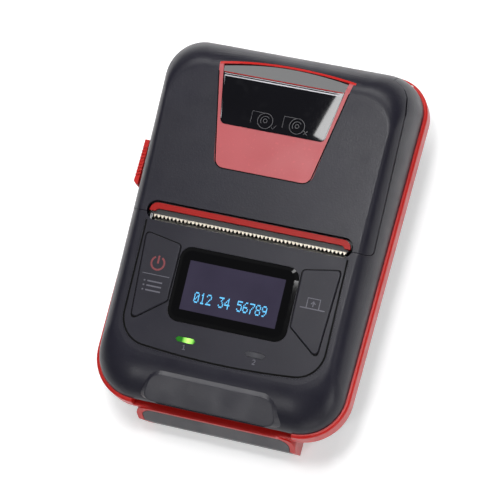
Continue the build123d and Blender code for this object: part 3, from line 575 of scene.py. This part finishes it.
def arc(x: float, y: float, radius: float, start: float, end: float, steps: int = ARC_STEPS) -> np.ndarray:
    """Points on a circle of the face from one angle to another, in degrees."""
    angle = np.radians(np.linspace(start, end, steps))
    return np.stack([x + radius * np.cos(angle), y + radius * np.sin(angle)], axis=1)


def line(*points: Pair) -> np.ndarray:
    """Straight runs through the given places."""
    return np.array(points, dtype=float)


def rounded(places: Path, radius: float) -> np.ndarray:
    """Closed polygon with rounded corners: q(t) = c + (a - c)(1 - t)^2 + (b - c) t^2 at each corner c.

    a and b lie on the two sides of the corner, at the length that a circle of the radius would touch.

    Args:
        places: the corners in order.
        radius: radius of the rounding.

    Returns:
        Array of points of shape (n, 2).
    """
    corner = line(*places)
    before = np.roll(corner, 1, axis=0) - corner
    after = np.roll(corner, -1, axis=0) - corner
    before /= np.linalg.norm(before, axis=1, keepdims=True)
    after /= np.linalg.norm(after, axis=1, keepdims=True)
    half_angle = np.arccos(np.clip((before * after).sum(axis=1), -1, 1)) / 2
    reach = (radius / np.tan(half_angle))[:, None]
    t = np.linspace(0.0, 1.0, BEND_STEPS)[None, :, None]
    bend = (before * reach)[:, None] * (1 - t) ** 2 + (after * reach)[:, None] * t ** 2
    return (corner[:, None] + bend).reshape(-1, 2)


def cup(top: Pair, centre: Pair, radius: float, turn: Pair, steps: int, foot: Path = ()) -> np.ndarray:
    """Path down the left side, round a corner, along the foot, and up the right side as a mirror image.

    Args:
        top: upper end of the right side.
        centre: centre of the right corner.
        radius: radius of the corners.
        turn: angles at which the right corner starts and ends, in degrees.
        steps: points along a corner.
        foot: points between the corners.

    Returns:
        Array of points of shape (n, 2).
    """
    right = np.concatenate([arc(*centre, radius, *turn, steps), line(top)])
    return np.concatenate([right[::-1] * [-1, 1], line(*foot).reshape(-1, 2), right])


def printed(place: Pair, runs: Runs, width: float, level: float = 0.0) -> list[Shape]:
    """Printed strokes round a place on the face, at a level over it."""
    return [stroke(line(*run) + place, width, level + INK_SUNK, level + INK_TOP) for run in runs]


def coil(x: float, z: float, radius: float, wire: float, ends: Pair, turns: float) -> Shape:
    """Coil spring along Y: p(u, v) = c + (R + r cos v) e(u) + (pitch u + r sin v) along Y.

    e(u) turns round the axis once for every coil. The first and last coils lie closer, as ground ends do.

    Args:
        x: place of the coil's axis, in metres.
        z: its height.
        radius: outer radius.
        wire: radius of the wire.
        ends: where the coil starts and ends along Y.
        turns: number of coils.

    Returns:
        Points in metres and faces.
    """
    steps = int(turns * COIL_STEPS)
    u = np.linspace(0.0, 1.0, steps)
    v = np.linspace(0.0, 2 * math.pi, WIRE_SIDES, endpoint=False)
    angle = (2 * math.pi * turns * u)[:, None]
    eased = u - np.sin(2 * math.pi * u) * COIL_EASE
    middle = ends[0] + wire + (ends[1] - ends[0] - 2 * wire) * eased
    reach = radius - wire + wire * np.cos(v)[None, :]
    y = middle[:, None] + wire * np.sin(v)[None, :]
    points = np.stack([x + reach * np.cos(angle), y, z + reach * np.sin(angle)], axis=2)
    return points.reshape(-1, 3), sleeve_faces(steps, WIRE_SIDES)


class SubAssembly:
    """A group of CAD nodes that are dressed together, and the pieces that are added to them."""

    nodes: tuple[str, ...] = ()
    own_finish: dict[str, str] = {}

    def dress(self, slots: dict[str, str]) -> None:
        """Gives each CAD node of the group the finish of its material slot, or its own.

        Args:
            slots: material slot of each node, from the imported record.
        """
        for node in self.nodes:
            piece = frame["nodes"][node]
            for place in piece.material_slots:
                place.material = finished(self.own_finish.get(node, slots[node]))
            log.info("%s: dressed in %s", node, piece.material_slots[0].material.name)

    def build(self) -> None:
        """Adds the group's own pieces; a group without any adds nothing."""


@dataclass
class Housing(SubAssembly):
    """Fixed shells, the red frame between them, and the screws that hold them."""

    nodes = ("back_shell", "mid_frame", "front_shell", "case_screws", "hinge_pin")
    boss_half: Pair = (27.2, 5.9)
    boss_spread: float = 1.4
    boss_steep: float = 0.3
    boss_round: float = 4.2
    boss_edge: float = 1.0
    boss_depth: float = 6.0
    boss_lean: float = 30.0
    boss_place: Pair = (-70.17, 38.7)

    def build(self) -> None:
        """Adds the flat-faced boss over the foot."""
        add_piece("foot_boss", self.boss(), "body", "black_shell", "boss_plastic")

    def boss(self) -> Shape:
        """Rounded rectangles down a rounded edge, then out at 45 degrees: p(d, a) = c + (e + o(d)) s(a).

        s runs round the rectangle, d is the depth below the boss's face, and o(d) is how far the section has
        grown there, with only a share of it on the steep side over the foot. The rectangle spreads towards
        the foot. The face leans that way too, so each section is turned about X into the row frame.

        Returns:
            Points in metres and faces.
        """
        turn = np.radians(np.linspace(0.0, 45.0, EDGE_STEPS))
        grown = self.boss_edge * (np.sin(turn) - math.tan(math.pi / 8))
        depth = self.boss_edge * (1 - np.cos(turn))
        grown = np.append(grown, self.boss_depth)[:, None]
        depth = np.append(depth, self.boss_depth)[:, None]
        quarters = np.array([0.0, 90.0, 180.0, 270.0])[:, None]
        angle = np.radians(np.linspace(0.0, 90.0, CORNER_STEPS)[None, :] + quarters).ravel()
        side = np.repeat([(1, 1), (-1, 1), (-1, -1), (1, -1)], CORNER_STEPS, axis=0)
        core = np.array(self.boss_half) - self.boss_round
        radius = self.boss_round + grown
        x = side[None, :, 0] * core[0] + radius * np.cos(angle)
        y = side[None, :, 1] * core[1] + radius * np.sin(angle)
        low = -self.boss_half[1]
        y = np.where(y < low, low + (y - low) * self.boss_steep, y)
        x = x * (1 - self.boss_spread / self.boss_half[0] * y / self.boss_half[1])
        lean = math.radians(self.boss_lean)
        along = self.boss_place[0] + y * math.cos(lean) + depth * math.sin(lean)
        up = self.boss_place[1] + y * math.sin(lean) - depth * math.cos(lean)
        points = np.stack([x, along, up], axis=2).reshape(-1, 3) * MM
        return points, sleeve_faces(len(depth), len(angle))


@dataclass
class Cover(SubAssembly):
    """Swinging paper cover with its red bezel, dark window and the pictograms printed inside it."""

    nodes = ("cover_shell", "bezel", "window", "slot_lip", "tear_bar", "platen_carrier", "cover_screws",
             "platen_bushes")
    # The bezel's red has a painted sheen in it, and the slot lip's darker red is painted shade.
    own_finish = {"bezel": "bezel_red_painted_sheen", "slot_lip": "dark_red_painted_shade_and_glint", "tear_bar": "blade_steel"}
    window_low: float = 40.9
    window_bend: float = 62.4
    window_high: float = 68.6
    half_low: float = 22.3
    half_bend: float = 25.8
    half_high: float = 27.0
    corner: float = 2.2
    chamfer: float = 0.6
    strip_drop: float = 2.35
    pane_thickness: float = 1.1
    pane_columns: int = 9
    pane_rows: tuple[float, ...] = (50.0, 62.05, 62.28, 62.52, 62.75, 65.0)
    rim_width: float = 0.4
    rim_height: float = 0.16
    rim_turn: Pair = (270.0, 365.0)
    rim_steps: int = 10
    # Raised ridges across the window and a line on its left edge, each a run, a width and a height, coloured
    # pale as painted highlights.
    ridge_highlights: tuple[tuple[Path, float, float], ...] = (
        (((-25.3, 61.0), (0.0, 61.0), (25.3, 61.0)), 0.5, 0.06),
        (((-25.3, 61.85), (0.0, 61.85), (25.3, 61.85)), 0.22, 0.06),
        (((-22.45, 43.1), (-25.05, 60.8)), 0.22, 0.03),
    )
    # Path and section of the red line along the window's bend, which is a painted red glint.
    crease_glint_run: Path = ((-25.8, 62.4), (0.0, 62.4), (25.8, 62.4))
    crease_glint: Triple = (0.4, -0.1, 0.05)
    # Ends and section of the dark strip over the blade's rear edge: a clamp, and painted shade under the lip.
    clamp_shade_ends: Path = ((-42.2, 0.15), (42.2, 0.15))
    clamp_shade: Triple = (2.3, -2.05, -1.7)
    # Path and width of the near-black strip along the bezel's joint: painted shade in the gap.
    joint_top: Pair = (28.0, 62.5)
    joint_centre: Pair = (16.8, 26.6)
    joint_width: float = 0.5
    joint_corner: float = 4.0
    joint_turn: Pair = (270.0, 350.0)
    crown_y: tuple[float, ...] = (58.0, 61.0, 63.0, 64.0, 65.5, 67.0, 68.5, 70.0, 71.5, 73.0, 74.5, 76.0)
    crown_z: tuple[float, ...] = (55.51, 55.84, 56.05, 56.03, 55.8, 55.32, 54.6, 53.61, 52.34, 50.74, 48.75,
                                  46.23)
    brow_steps: int = 41
    brow_half: float = 33.0
    brow_peak: Pair = (2.0, 69.6)
    brow_fall: Pair = (0.0040, 0.0031)
    brow_high: float = 73.2
    brow_rise: float = 0.14
    brow_thick: float = 0.5
    brow_taper: float = 12.0
    brow_places: tuple[float, ...] = (0.0, 0.04, 0.12, 0.3, 0.5, 0.7, 0.9, 1.0)
    brow_shares: tuple[float, ...] = (0.0, 0.75, 1.0, 1.0, 1.0, 1.0, 0.6, -0.05)
    arc_ends: Pair = (-28.2, 29.6)
    arc_borders: Pair = (-0.95, 0.25)
    arc_rows: int = 4
    arc_rise: float = 0.07
    arc_thick: float = 0.8
    mark_width: float = 0.28
    rings: tuple[Arc, ...] = ((3.2, 0.0, 345.0, 24), (0.8, 0.0, 330.0, 12))
    winding: Arc = (1.92, 40.0, 220.0, 12)
    sheet: Path = ((-0.64, 3.2), (-6.08, 3.2), (-6.08, -1.6))
    sign_place: Pair = (4.0, -2.08)
    tick: Runs = (((-0.9, 0.0), (-0.2, -0.8), (1.0, 1.0)),)
    cross: Runs = (((-0.8, -0.8), (0.8, 0.8)), ((-0.8, 0.8), (0.8, -0.8)))
    left_roll: Pair = (-3.8, 45.2)
    right_roll: Pair = (9.8, 45.4)

    def build(self) -> None:
        """Adds the window's pane and trim with painted highlights on its ridges and edge and a painted red
        glint in its bend, a near-black strip of painted shade in the bezel's joint, the bezel's arc, a dark
        strip over the blade that is its clamp and painted shade under the lip, and the pictograms.
        """
        pane = add_piece("window_pane", self.pane(), "cover", "smoke_clear")
        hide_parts("window")
        # Dark strip over the blade's rear edge: a clamp, and painted shade under the lip.
        clamp_shade = stroke(line(*self.clamp_shade_ends), *self.clamp_shade)
        add_piece("blade_clamp_shade", clamp_shade, "cover", "frame_plastic")
        add_piece("cover_brow", self.brow(), "cover", "black_shell")
        # Near-black strip along the bezel's joint: painted shade in the gap.
        path = cup(self.joint_top, self.joint_centre, self.joint_corner, self.joint_turn, CORNER_STEPS)
        joint = stroke(path, self.joint_width, SUNK, INK_TOP)
        add_piece("bezel_joint_painted_shade", joint, "cover", "frame_plastic", "gap_painted_shade")
        inset = self.rim_width / 2
        top = (self.half_bend - inset, self.window_bend)
        centre = (self.half_low - inset - self.corner, self.window_low + inset + self.corner)
        path = cup(top, centre, self.corner, self.rim_turn, self.rim_steps)
        rim = stroke(path, self.rim_width, SUNK, self.rim_height)
        add_piece("window_rim", rim, "cover", "smoke_clear")
        # Pale raised lines: painted highlights on the window's ridges and left edge.
        ridge_highlights = [stroke(line(*run), width, SUNK, high) for run, width, high in self.ridge_highlights]
        add_piece("window_ridge_highlights", merge(ridge_highlights), "cover", "smoke_clear", "ridge_painted_highlight")
        # Dark red line along the window's bend: a painted red glint.
        crease_glint = stroke(line(*self.crease_glint_run), *self.crease_glint)
        add_piece("window_crease_glint", crease_glint, "cover", "red_plastic", "dark_red_painted_shade_and_glint")
        add_piece("bezel_arc", self.bezel_arc(), "cover", "red_plastic")
        marks = self.loading_mark(self.left_roll, self.tick) + self.loading_mark(self.right_roll, self.cross)
        add_piece("loading_marks", merge(marks), "cover", "smoke_clear", "window_ink")

    def brow_edge(self, x: np.ndarray) -> np.ndarray:
        """Lower edge of the brow: y = peak - fall (x - middle)^2, with its own fall on each side."""
        away = x - self.brow_peak[0]
        return self.brow_peak[1] - np.where(away < 0, *self.brow_fall) * away ** 2

    def brow(self) -> Shape:
        """Edge of the shell over the bezel: p(u, v) = (x(u), y, z(y) + h(v)), y from the edge to the top.

        z is the cover's own rounded profile, and the band's height h is nil at its borders and `brow_rise`
        between them. It tapers off at both ends.

        Returns:
            Points in metres and faces.
        """
        u = np.linspace(-1.0, 1.0, self.brow_steps)
        x = self.brow_half * u
        low = self.brow_edge(x)[:, None]
        y = low + (self.brow_high - low) * np.array(self.brow_places)[None, :]
        taper = np.minimum(1.0, (1.0 - np.abs(u)) * self.brow_taper)[:, None]
        rise = self.brow_rise * np.array(self.brow_shares)[None, :] * taper
        return self.plate(x, y, rise, self.brow_thick)

    def bezel_arc(self) -> Shape:
        """Narrow red band along the brow's edge: p(u, v) = (x(u), edge(x) + v, z(y) + rise).

        Returns:
            Points in metres and faces.
        """
        x = np.linspace(*self.arc_ends, self.brow_steps)
        y = self.brow_edge(x)[:, None] + np.linspace(*self.arc_borders, self.arc_rows)[None, :]
        return self.plate(x, y, self.arc_rise, self.arc_thick)

    def plate(self, x: np.ndarray, y: np.ndarray, rise: np.ndarray | float, thick: float) -> Shape:
        """Closed plate on the cover's rounded crown: top at z(y) + rise, underside at z(y) - thick.

        Args:
            x: x of each row.
            y: y of each point, in one row for each x.
            rise: height of the top over the crown.
            thick: depth of the underside below it.

        Returns:
            Points in metres and faces.
        """
        z = np.interp(y, self.crown_y, self.crown_z)
        wide = np.broadcast_to(x[:, None], y.shape)
        upper = np.stack([wide, y, z + rise], axis=2)
        lower = np.stack([wide, y, z - thick], axis=2)[:, ::-1]
        grid = np.concatenate([upper, lower], axis=1)
        return grid.reshape(-1, 3) * MM, sleeve_faces(grid.shape[0], grid.shape[1])

    def pane(self) -> Shape:
        """Pane with a flat lower part and a strip bent back: p(y, k) = (w(y) s(k), y, h(y) - t b(k)).

        w is the half width with its rounded lower corners, h falls in a straight line past the bend, and
        (s, b) run across the top from left to right and back below it, at the thickness t.

        Returns:
            Points in metres and faces.
        """
        rounding = self.corner * (1 - np.cos(np.linspace(0.0, math.pi / 2, BEND_STEPS)))
        top = (self.window_high - self.chamfer, self.window_high)
        y = np.concatenate([self.window_low + rounding, self.pane_rows, top])
        slope = (self.half_high - self.half_low) / (self.window_high - self.window_low)
        half = self.half_low + slope * (y - self.window_low)
        near = np.clip(self.corner - (y - self.window_low), 0.0, self.corner)
        half -= self.corner - np.sqrt(self.corner ** 2 - near ** 2)
        half[-1] -= self.chamfer
        past = np.clip(y - self.window_bend, 0.0, None)
        height = -self.strip_drop * past / (self.window_high - self.window_bend)
        across = np.linspace(-1.0, 1.0, self.pane_columns)
        side = np.concatenate([across, across[::-1]])
        below = np.repeat([0.0, self.pane_thickness], len(across))
        grid = np.empty((len(y), len(side), 3))
        grid[..., 0] = half[:, None] * side[None, :]
        grid[..., 1] = y[:, None]
        grid[..., 2] = height[:, None] - below[None, :]
        return FACE.to_row(grid), sleeve_faces(len(y), len(side))

    def loading_mark(self, place: Pair, sign: Runs) -> list[Shape]:
        """Pictogram of a paper roll with its free end, and a sign beside it.

        Args:
            place: centre of the roll on the face.
            sign: runs of the tick or the cross.

        Returns:
            The strokes of the pictogram.
        """
        rings = [stroke(arc(*place, *ring), self.mark_width, INK_SUNK, INK_TOP, True) for ring in self.rings]
        winding = arc(0.0, 0.0, *self.winding)
        roll = printed(place, (winding, self.sheet), self.mark_width)
        return rings + roll + printed(np.add(place, self.sign_place), sign, self.mark_width)


@dataclass
class Keys(SubAssembly):
    """Control panel with its two side keys, and the generic marks printed on them."""

    nodes = ("control_panel", "mode_button", "feed_button", "button_switches", "main_board")
    key_top: float = 0.5
    power_place: Pair = (-33.8, -21.1)
    power_width: float = 0.75
    power_ring: Arc = (2.75, 120.0, 420.0, 32)
    power_bar: Path = ((0.0, -0.1375), (0.0, 3.1625))
    marks: tuple[tuple[str, str, Pair, float, Runs], ...] = (
        ("key_rule", "mode_key", (-33.4, -26.0), 0.3, (((-5.8, 0.0), (5.8, 0.0)),)),
        ("menu_mark", "mode_key", (-34.0, -30.8), 0.6, (
            ((-4.0, 1.9), (-3.3, 1.9)), ((-2.4, 1.9), (4.0, 1.9)), ((-4.0, 0.0), (-3.3, 0.0)),
            ((-2.4, 0.0), (4.0, 0.0)), ((-4.0, -1.9), (-3.3, -1.9)), ((-2.4, -1.9), (4.0, -1.9)),
        )),
        ("feed_mark", "feed_key", (33.5, -24.5), 0.45, (
            ((-5.2, -2.1), (5.2, -2.1)), ((-2.6, -2.1), (-2.6, 2.1), (2.6, 2.1), (2.6, -2.1)),
            ((0.0, -1.26), (0.0, 1.05)), ((-0.9, -0.2), (0.0, 0.9), (0.9, -0.2)),
        )),
    )
    key_corners: Path = ((26.0, -11.8), (41.7, -9.0), (39.7, -45.7), (26.3, -35.4))
    key_corner: float = 1.6
    # Width of the near-black strips along the key and panel joints, which are painted shade in the gaps.
    joint: float = 0.75
    key_joint_top: float = 0.012
    panel_half: float = 43.0
    panel_top: float = -4.2
    panel_low: float = -55.0
    panel_bow: float = 1.5
    panel_corner: float = 12.0
    panel_turn: Pair = (278.0, 360.0)
    panel_steps: int = 12
    bow_steps: int = 13
    bow_inset: float = 1.0
    lip_away: float = 0.62
    lip_width: float = 0.4
    lip_top: float = 0.1

    def build(self) -> None:
        """Adds near-black strips of painted shade along the joints round the keys and the panel, the red
        on-off mark, the rule and the keys' marks.
        """
        # Near-black strips along the key and panel joints: painted shade in the gaps.
        outline = rounded(self.key_corners, self.key_corner)
        rings = [stroke(outline * [side, 1.0], self.joint, SUNK, self.key_joint_top, True)
                 for side in (1.0, -1.0)]
        add_piece("key_joint_painted_shade", merge(rings), "body", "frame_plastic", "gap_painted_shade")
        joint = stroke(self.around(0.0), self.joint, SUNK, INK_TOP)
        add_piece("panel_joint_painted_shade", joint, "body", "frame_plastic", "gap_painted_shade")
        lip = stroke(self.around(self.lip_away), self.lip_width, SUNK, self.lip_top)
        add_piece("panel_lip", lip, "body", "black_shell")
        power = (arc(0.0, 0.0, *self.power_ring), self.power_bar)
        power = printed(self.power_place, power, self.power_width, self.key_top)
        add_piece("power_mark", merge(power), "mode_key", "button_rubber", "power_ink")
        for name, body, place, width, runs in self.marks:
            mark = merge(printed(place, runs, width, self.key_top))
            add_piece(name, mark, body, "button_rubber", "key_ink")

    def around(self, grow: float) -> np.ndarray:
        """Path round the panel: straight sides, round corners, and a lower edge bowed as a parabola.

        Args:
            grow: distance outside the panel's own edge.

        Returns:
            Array of points of shape (n, 2).
        """
        half = self.panel_half + grow
        low = self.panel_low - grow
        radius = self.panel_corner + grow
        x = np.linspace(radius - half + self.bow_inset, half - radius - self.bow_inset, self.bow_steps)
        bow = np.stack([x, low - self.panel_bow * (1 - (x / (half - radius)) ** 2)], axis=1)
        centre = (half - radius, low + radius)
        return cup((half, self.panel_top), centre, radius, self.panel_turn, self.panel_steps, bow)


@dataclass
class Display(SubAssembly):
    """Display behind its gloss lens, with a line of plain numbers lit on it."""

    nodes = ("display_lens", "display_module", "display_screen")
    text: str = "012 34 56789"
    left: float = -15.4
    right: float = 15.6
    low: float = -33.9
    high: float = -29.4
    lens_top: float = 0.9
    cell_fill: float = 0.92
    columns: int = 5
    rows: int = 7
    pitch: int = 6

    GLYPHS = {
        "0": (14, 17, 19, 21, 25, 17, 14), "1": (4, 12, 4, 4, 4, 4, 14), "2": (14, 17, 1, 2, 4, 8, 31),
        "3": (31, 2, 4, 2, 1, 17, 14), "4": (2, 6, 10, 18, 31, 2, 2), "5": (31, 16, 30, 1, 1, 17, 14),
        "6": (6, 8, 16, 30, 17, 17, 14), "7": (31, 1, 2, 4, 8, 8, 8), "8": (14, 17, 17, 14, 17, 17, 14),
        "9": (14, 17, 17, 15, 1, 2, 12), " ": (0, 0, 0, 0, 0, 0, 0),
    }

    def build(self) -> None:
        """Adds the lit cells of the text as one piece of small closed tiles just over the lens."""
        centres, size = self.lit_cells()
        corner = np.array([(-1, -1), (1, -1), (1, 1), (-1, 1)]) * 0.5
        flat = centres[:, None, :] + corner[None, :, :] * size * self.cell_fill
        flat = np.concatenate([flat, flat], axis=1)
        height = np.repeat([self.lens_top + INK_SUNK, self.lens_top + INK_TOP], 4)
        up = np.broadcast_to(height[None, :, None], (len(centres), 8, 1))
        points = FACE.to_row(np.concatenate([flat, up], axis=2))
        tile = np.array([(0, 3, 2, 1), (4, 5, 6, 7), (0, 1, 5, 4), (1, 2, 6, 5), (2, 3, 7, 6), (3, 0, 4, 7)])
        faces = (np.arange(len(centres))[:, None, None] * 8 + tile[None]).reshape(-1, 4).tolist()
        add_piece("display_digits", (points, faces), "body", "lens_black", "display_ink")

    def lit_cells(self) -> tuple[np.ndarray, np.ndarray]:
        """Centres of the lit cells: each row of a glyph is a number whose bits are its cells.

        Returns:
            Array of centres of shape (n, 2), and the size of a cell, in face millimetres.
        """
        rows = np.array([self.GLYPHS[character] for character in self.text])
        bits = rows[:, :, None] >> np.arange(self.columns)[::-1] & 1
        glyph, row, column = np.nonzero(bits)
        wide = (self.right - self.left) / (self.pitch * len(self.text) - 1)
        tall = (self.high - self.low) / self.rows
        x = self.left + (glyph * self.pitch + column + 0.5) * wide
        y = self.high - (row + 0.5) * tall
        return np.stack([x, y], axis=1), np.array([wide, tall])


@dataclass
class Indicators(SubAssembly):
    """Two indicator lenses with plain numbers under them."""

    nodes = ("power_led_lens", "alert_led_lens", "indicator_leds")
    place: float = LED_PLACE
    level: float = -52.4
    width: float = 0.32
    foot: Path = ((-0.6, -0.95), (0.6, -0.95))
    stem: Path = ((-0.5, 0.475), (0.0, 0.95), (0.0, -0.95))
    bowl_place: Pair = (0.0, 0.418)
    bowl: Arc = (0.532, 160.0, -40.0, 10)
    neck: Pair = (-0.55, -0.95)

    def build(self) -> None:
        """Adds the number under each lens."""
        two = np.concatenate([arc(*self.bowl_place, *self.bowl), line(self.neck)])
        marks = printed((-self.place, self.level), (self.stem, self.foot), self.width)
        marks += printed((self.place, self.level), (two, self.foot), self.width)
        add_piece("indicator_numbers", merge(marks), "body", "panel_plastic", "key_ink")


@dataclass
class Mechanism(SubAssembly):
    """Print head, platen, gear train and motor in their steel frame."""

    nodes = ("mech_frame", "thermal_head", "heat_sink", "drive_motor", "motor_shaft", "motor_pinion",
             "reduction_gear", "gear_stud", "platen_shaft", "platen_rubber", "platen_gear", "paper_guide",
             "paper_sensor", "roll_tub")
    spring_count: int = 3
    wire: float = 0.32
    turns: float = 5.5

    def build(self) -> None:
        """Adds the three wound springs that press the head onto the platen."""
        low, high = (Vector(corner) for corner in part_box("head_springs"))
        radius = (high.z - low.z) / 2
        middle = (high.z + low.z) / 2
        places = np.linspace(low.x + radius, high.x - radius, self.spring_count)
        coils = [coil(x, middle, radius, self.wire * MM, (low.y, high.y), self.turns) for x in places]
        springs = add_piece("head_coils", merge(coils), "body", "steel")
        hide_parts("head_springs")


@dataclass
class Latch(SubAssembly):
    """Release lever, its slide and the wound spring that returns them."""

    nodes = ("release_lever", "latch_slide")
    wire: float = 0.22
    turns: float = 11.0

    def build(self) -> None:
        """Adds the return spring."""
        low, high = (Vector(corner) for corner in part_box("latch_spring"))
        middle = (low + high) / 2
        radius = (high.z - low.z) / 2
        wound = coil(middle.x, middle.z, radius, self.wire * MM, (low.y, high.y), self.turns)
        spring = add_piece("latch_coil", wound, "body", "steel")
        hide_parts("latch_spring")


@dataclass
class Power(SubAssembly):
    """Battery with its contacts, and the side board with its two sockets."""

    nodes = ("battery_pack", "battery_terminals", "battery_contacts", "io_board", "usb_port", "charging_jack")


@dataclass(frozen=True)
class Lamp:
    """A flat soft lamp: its name, its place and size in metres, and its radiance, where 1 is white."""

    name: str
    place: Triple
    size: Pair
    radiance: float

    def light(self, aim: Vector) -> None:
        """Puts the lamp into the scene.

        Args:
            aim: the point that it faces.
        """
        data = bpy.data.lights.new(self.name, "AREA")
        data.shape = "RECTANGLE"
        data.size, data.size_y = self.size
        data.energy = self.radiance * math.pi * self.size[0] * self.size[1]
        place = Vector(self.place)
        turn = (aim - place).to_track_quat("-Z", "Y").to_matrix().to_4x4()
        add_object(self.name, data).matrix_world = Matrix.Translation(place) @ turn


@dataclass
class Studio:
    """Camera at the photograph's viewing angle, pale floor, world and soft lamps."""

    turn: Triple = (-0.124, -0.2593, -0.2342)
    centre: Pair = (0.6051, -8.3789)
    pixels_per_mm: float = 2.4639
    distance: float = 1000.0
    image: float = 500.0
    sensor: float = 36.0
    floor_size: float = 6.0
    floor_drop: float = 0.0002
    floor_roughness: float = 0.9
    floor_grain: float = 60.0
    paper: tuple[Colour, Colour] = ((0.86, 0.86, 0.865), (0.88, 0.88, 0.885))
    near_lift: float = 0.4
    far_lift: float = 0.6
    far_span: Pair = (0.4, 1.6)
    world_side: float = 0.13
    world_top: float = 0.06
    world_span: Pair = (0.7, 0.95)
    aim: Triple = (0.0, 0.0, 0.04)
    around: tuple[Lamp, ...] = (
        Lamp("hinge_end_lamp", (-0.12, 0.78, 0.88), (1.1, 0.42), 5.0),
        Lamp("crown_lamp", (0.02, 0.06, 0.76), (0.14, 0.18), 29.0),
        Lamp("left_lamp", (-0.62, 0.1, 0.82), (0.5, 0.4), 1.0),
        Lamp("right_strip", (0.63, 0.04, 0.68), (0.05, 0.3), 10.0),
        Lamp("trim_lamp", (0.78, -0.45, 0.32), (0.3, 0.3), 5.0),
        Lamp("foot_end_lamp", (-0.24, -0.68, 0.73), (0.2, 0.15), 14.0),
        Lamp("rim_lamp", (0.35, -0.95, 0.16), (0.5, 0.2), 3.0),
    )
    card_corners: Path = ((19.0, 40.8), (42.0, 40.8), (42.0, 60.6))
    card_aim: Pair = (30.0, 50.0)
    card_reach: float = 0.6
    card_radiance: float = 13.0

    def axes(self) -> Matrix:
        """Camera axes in the row frame: its rows point right, up and back."""
        about_x, about_y, about_z = (Matrix.Rotation(t, 3, axis) for t, axis in zip(self.turn, "XYZ"))
        return about_z @ about_x @ about_y @ Matrix.Rotation(math.radians(-FACE.tilt), 3, "X")

    def eye(self) -> Vector:
        """Camera's place in the row frame, in metres."""
        seen = Vector((*self.centre, self.distance))
        return (self.axes().transposed() @ seen + Vector((0.0, 0.0, FACE.height))) * MM

    def camera(self) -> None:
        """Makes the camera."""
        data = bpy.data.cameras.new("camera")
        data.sensor_width = self.sensor
        data.lens = self.pixels_per_mm * self.distance * self.sensor / self.image
        eye = add_object("camera", data)
        eye.matrix_world = Matrix.Translation(self.eye()) @ self.axes().transposed().to_4x4()
        bpy.context.scene.camera = eye

    def floor(self) -> None:
        """Adds the pale floor, which keeps the printer's shadow and shows as white to the camera."""
        ends = np.array([(-1, -1, 0), (1, -1, 0), (1, 1, 0), (-1, 1, 0)]) * self.floor_size / 2
        ends[:, 2] = -self.floor_drop
        mesh = bpy.data.meshes.new("floor")
        mesh.from_pydata(ends.tolist(), [], [(0, 1, 2, 3)])
        floor = add_object("floor", mesh)
        mesh.materials.append(self.floor_material())

    def floor_material(self) -> bpy.types.Material:
        """White paper sweep: matt white, lifted a little for rays that the camera sees, and more far away.

        Returns:
            The material.
        """
        shader = Shader("floor")
        path = shader.node("ShaderNodeLightPath").outputs
        seen = shader.maths("MAXIMUM", path["Is Camera Ray"], path["Is Glossy Ray"])
        seen = shader.maths("MAXIMUM", seen, path["Is Transmission Ray"])
        length = shader.node("ShaderNodeVectorMath", {0: shader.place}, operation="LENGTH")
        far = shader.remap(length.outputs["Value"], self.far_span, (0.0, self.far_lift))
        far = shader.maths("MULTIPLY", path["Is Camera Ray"], far)
        shader.feed(shader.surface, {
            "Roughness": self.floor_roughness,
            "Specular IOR Level": 0.0,
            "Base Color": shader.mix(shader.noise(self.floor_grain), *self.paper),
            "Emission Color": (1.0, 1.0, 1.0, 1.0),
            "Emission Strength": shader.maths("ADD", shader.maths("MULTIPLY", seen, self.near_lift), far),
        })
        return shader.material

    def world(self) -> None:
        """Even light from all round, weaker overhead, with plain white behind for the camera."""
        world = bpy.data.worlds.new("studio")
        bpy.context.scene.world = world
        world.use_nodes = True
        tree = Tree(world.node_tree)
        place = tree.node("ShaderNodeTexCoord").outputs["Generated"]
        height = tree.node("ShaderNodeSeparateXYZ", {0: place}).outputs[2]
        level = tree.remap(height, self.world_span, (self.world_side, self.world_top))
        seen = tree.node("ShaderNodeLightPath").outputs["Is Camera Ray"]
        strength = tree.node("ShaderNodeMix", {0: seen, 2: level, 3: 1.0}).outputs[0]
        background = tree.node("ShaderNodeBackground", {"Strength": strength}).outputs[0]
        tree.node("ShaderNodeOutputWorld", {"Surface": background})

    def mirrored(self, x: float, y: float) -> Vector:
        """Place of the card's corner that the camera sees mirrored in the flat front at (x, y)."""
        point = FACE.point(x, y)
        return point + (point - self.eye()).normalized().reflect(FACE.normal()) * self.card_reach

    def lamps(self) -> None:
        """Adds the lamps round the printer, and the card that the window mirrors."""
        for lamp in self.around:
            lamp.light(Vector(self.aim))
        low, turn, high = (self.mirrored(x, y) for x, y in self.card_corners)
        size = ((turn - low).length, (high - turn).length)
        card = Lamp("window_card", tuple((low + high) / 2), size, self.card_radiance)
        card.light(FACE.point(*self.card_aim))

    def build(self) -> None:
        """Sets the colour transform and makes the camera, floor, world and lamps."""
        bpy.context.scene.view_settings.view_transform = "Standard"
        self.camera()
        self.floor()
        self.world()
        self.lamps()


def corners(box: tuple[Vector, Vector]) -> list[list[float]]:
    """A box's lowest and highest corner as plain lists."""
    return [[float(c) for c in corner] for corner in box]


def main() -> None:
    """Builds the studio and each sub-assembly in turn."""
    logging.basicConfig(level=logging.INFO, format="%(name)s: %(message)s")
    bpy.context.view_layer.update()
    slots = {part["node"]: part["material_slot"] for part in frame["record"]["subparts"]}
    Studio().build()
    for group in (Housing(), Cover(), Keys(), Display(), Indicators(), Mechanism(), Latch(), Power()):
        group.dress(slots)
        group.build()


if __name__ == "__main__":
    main()
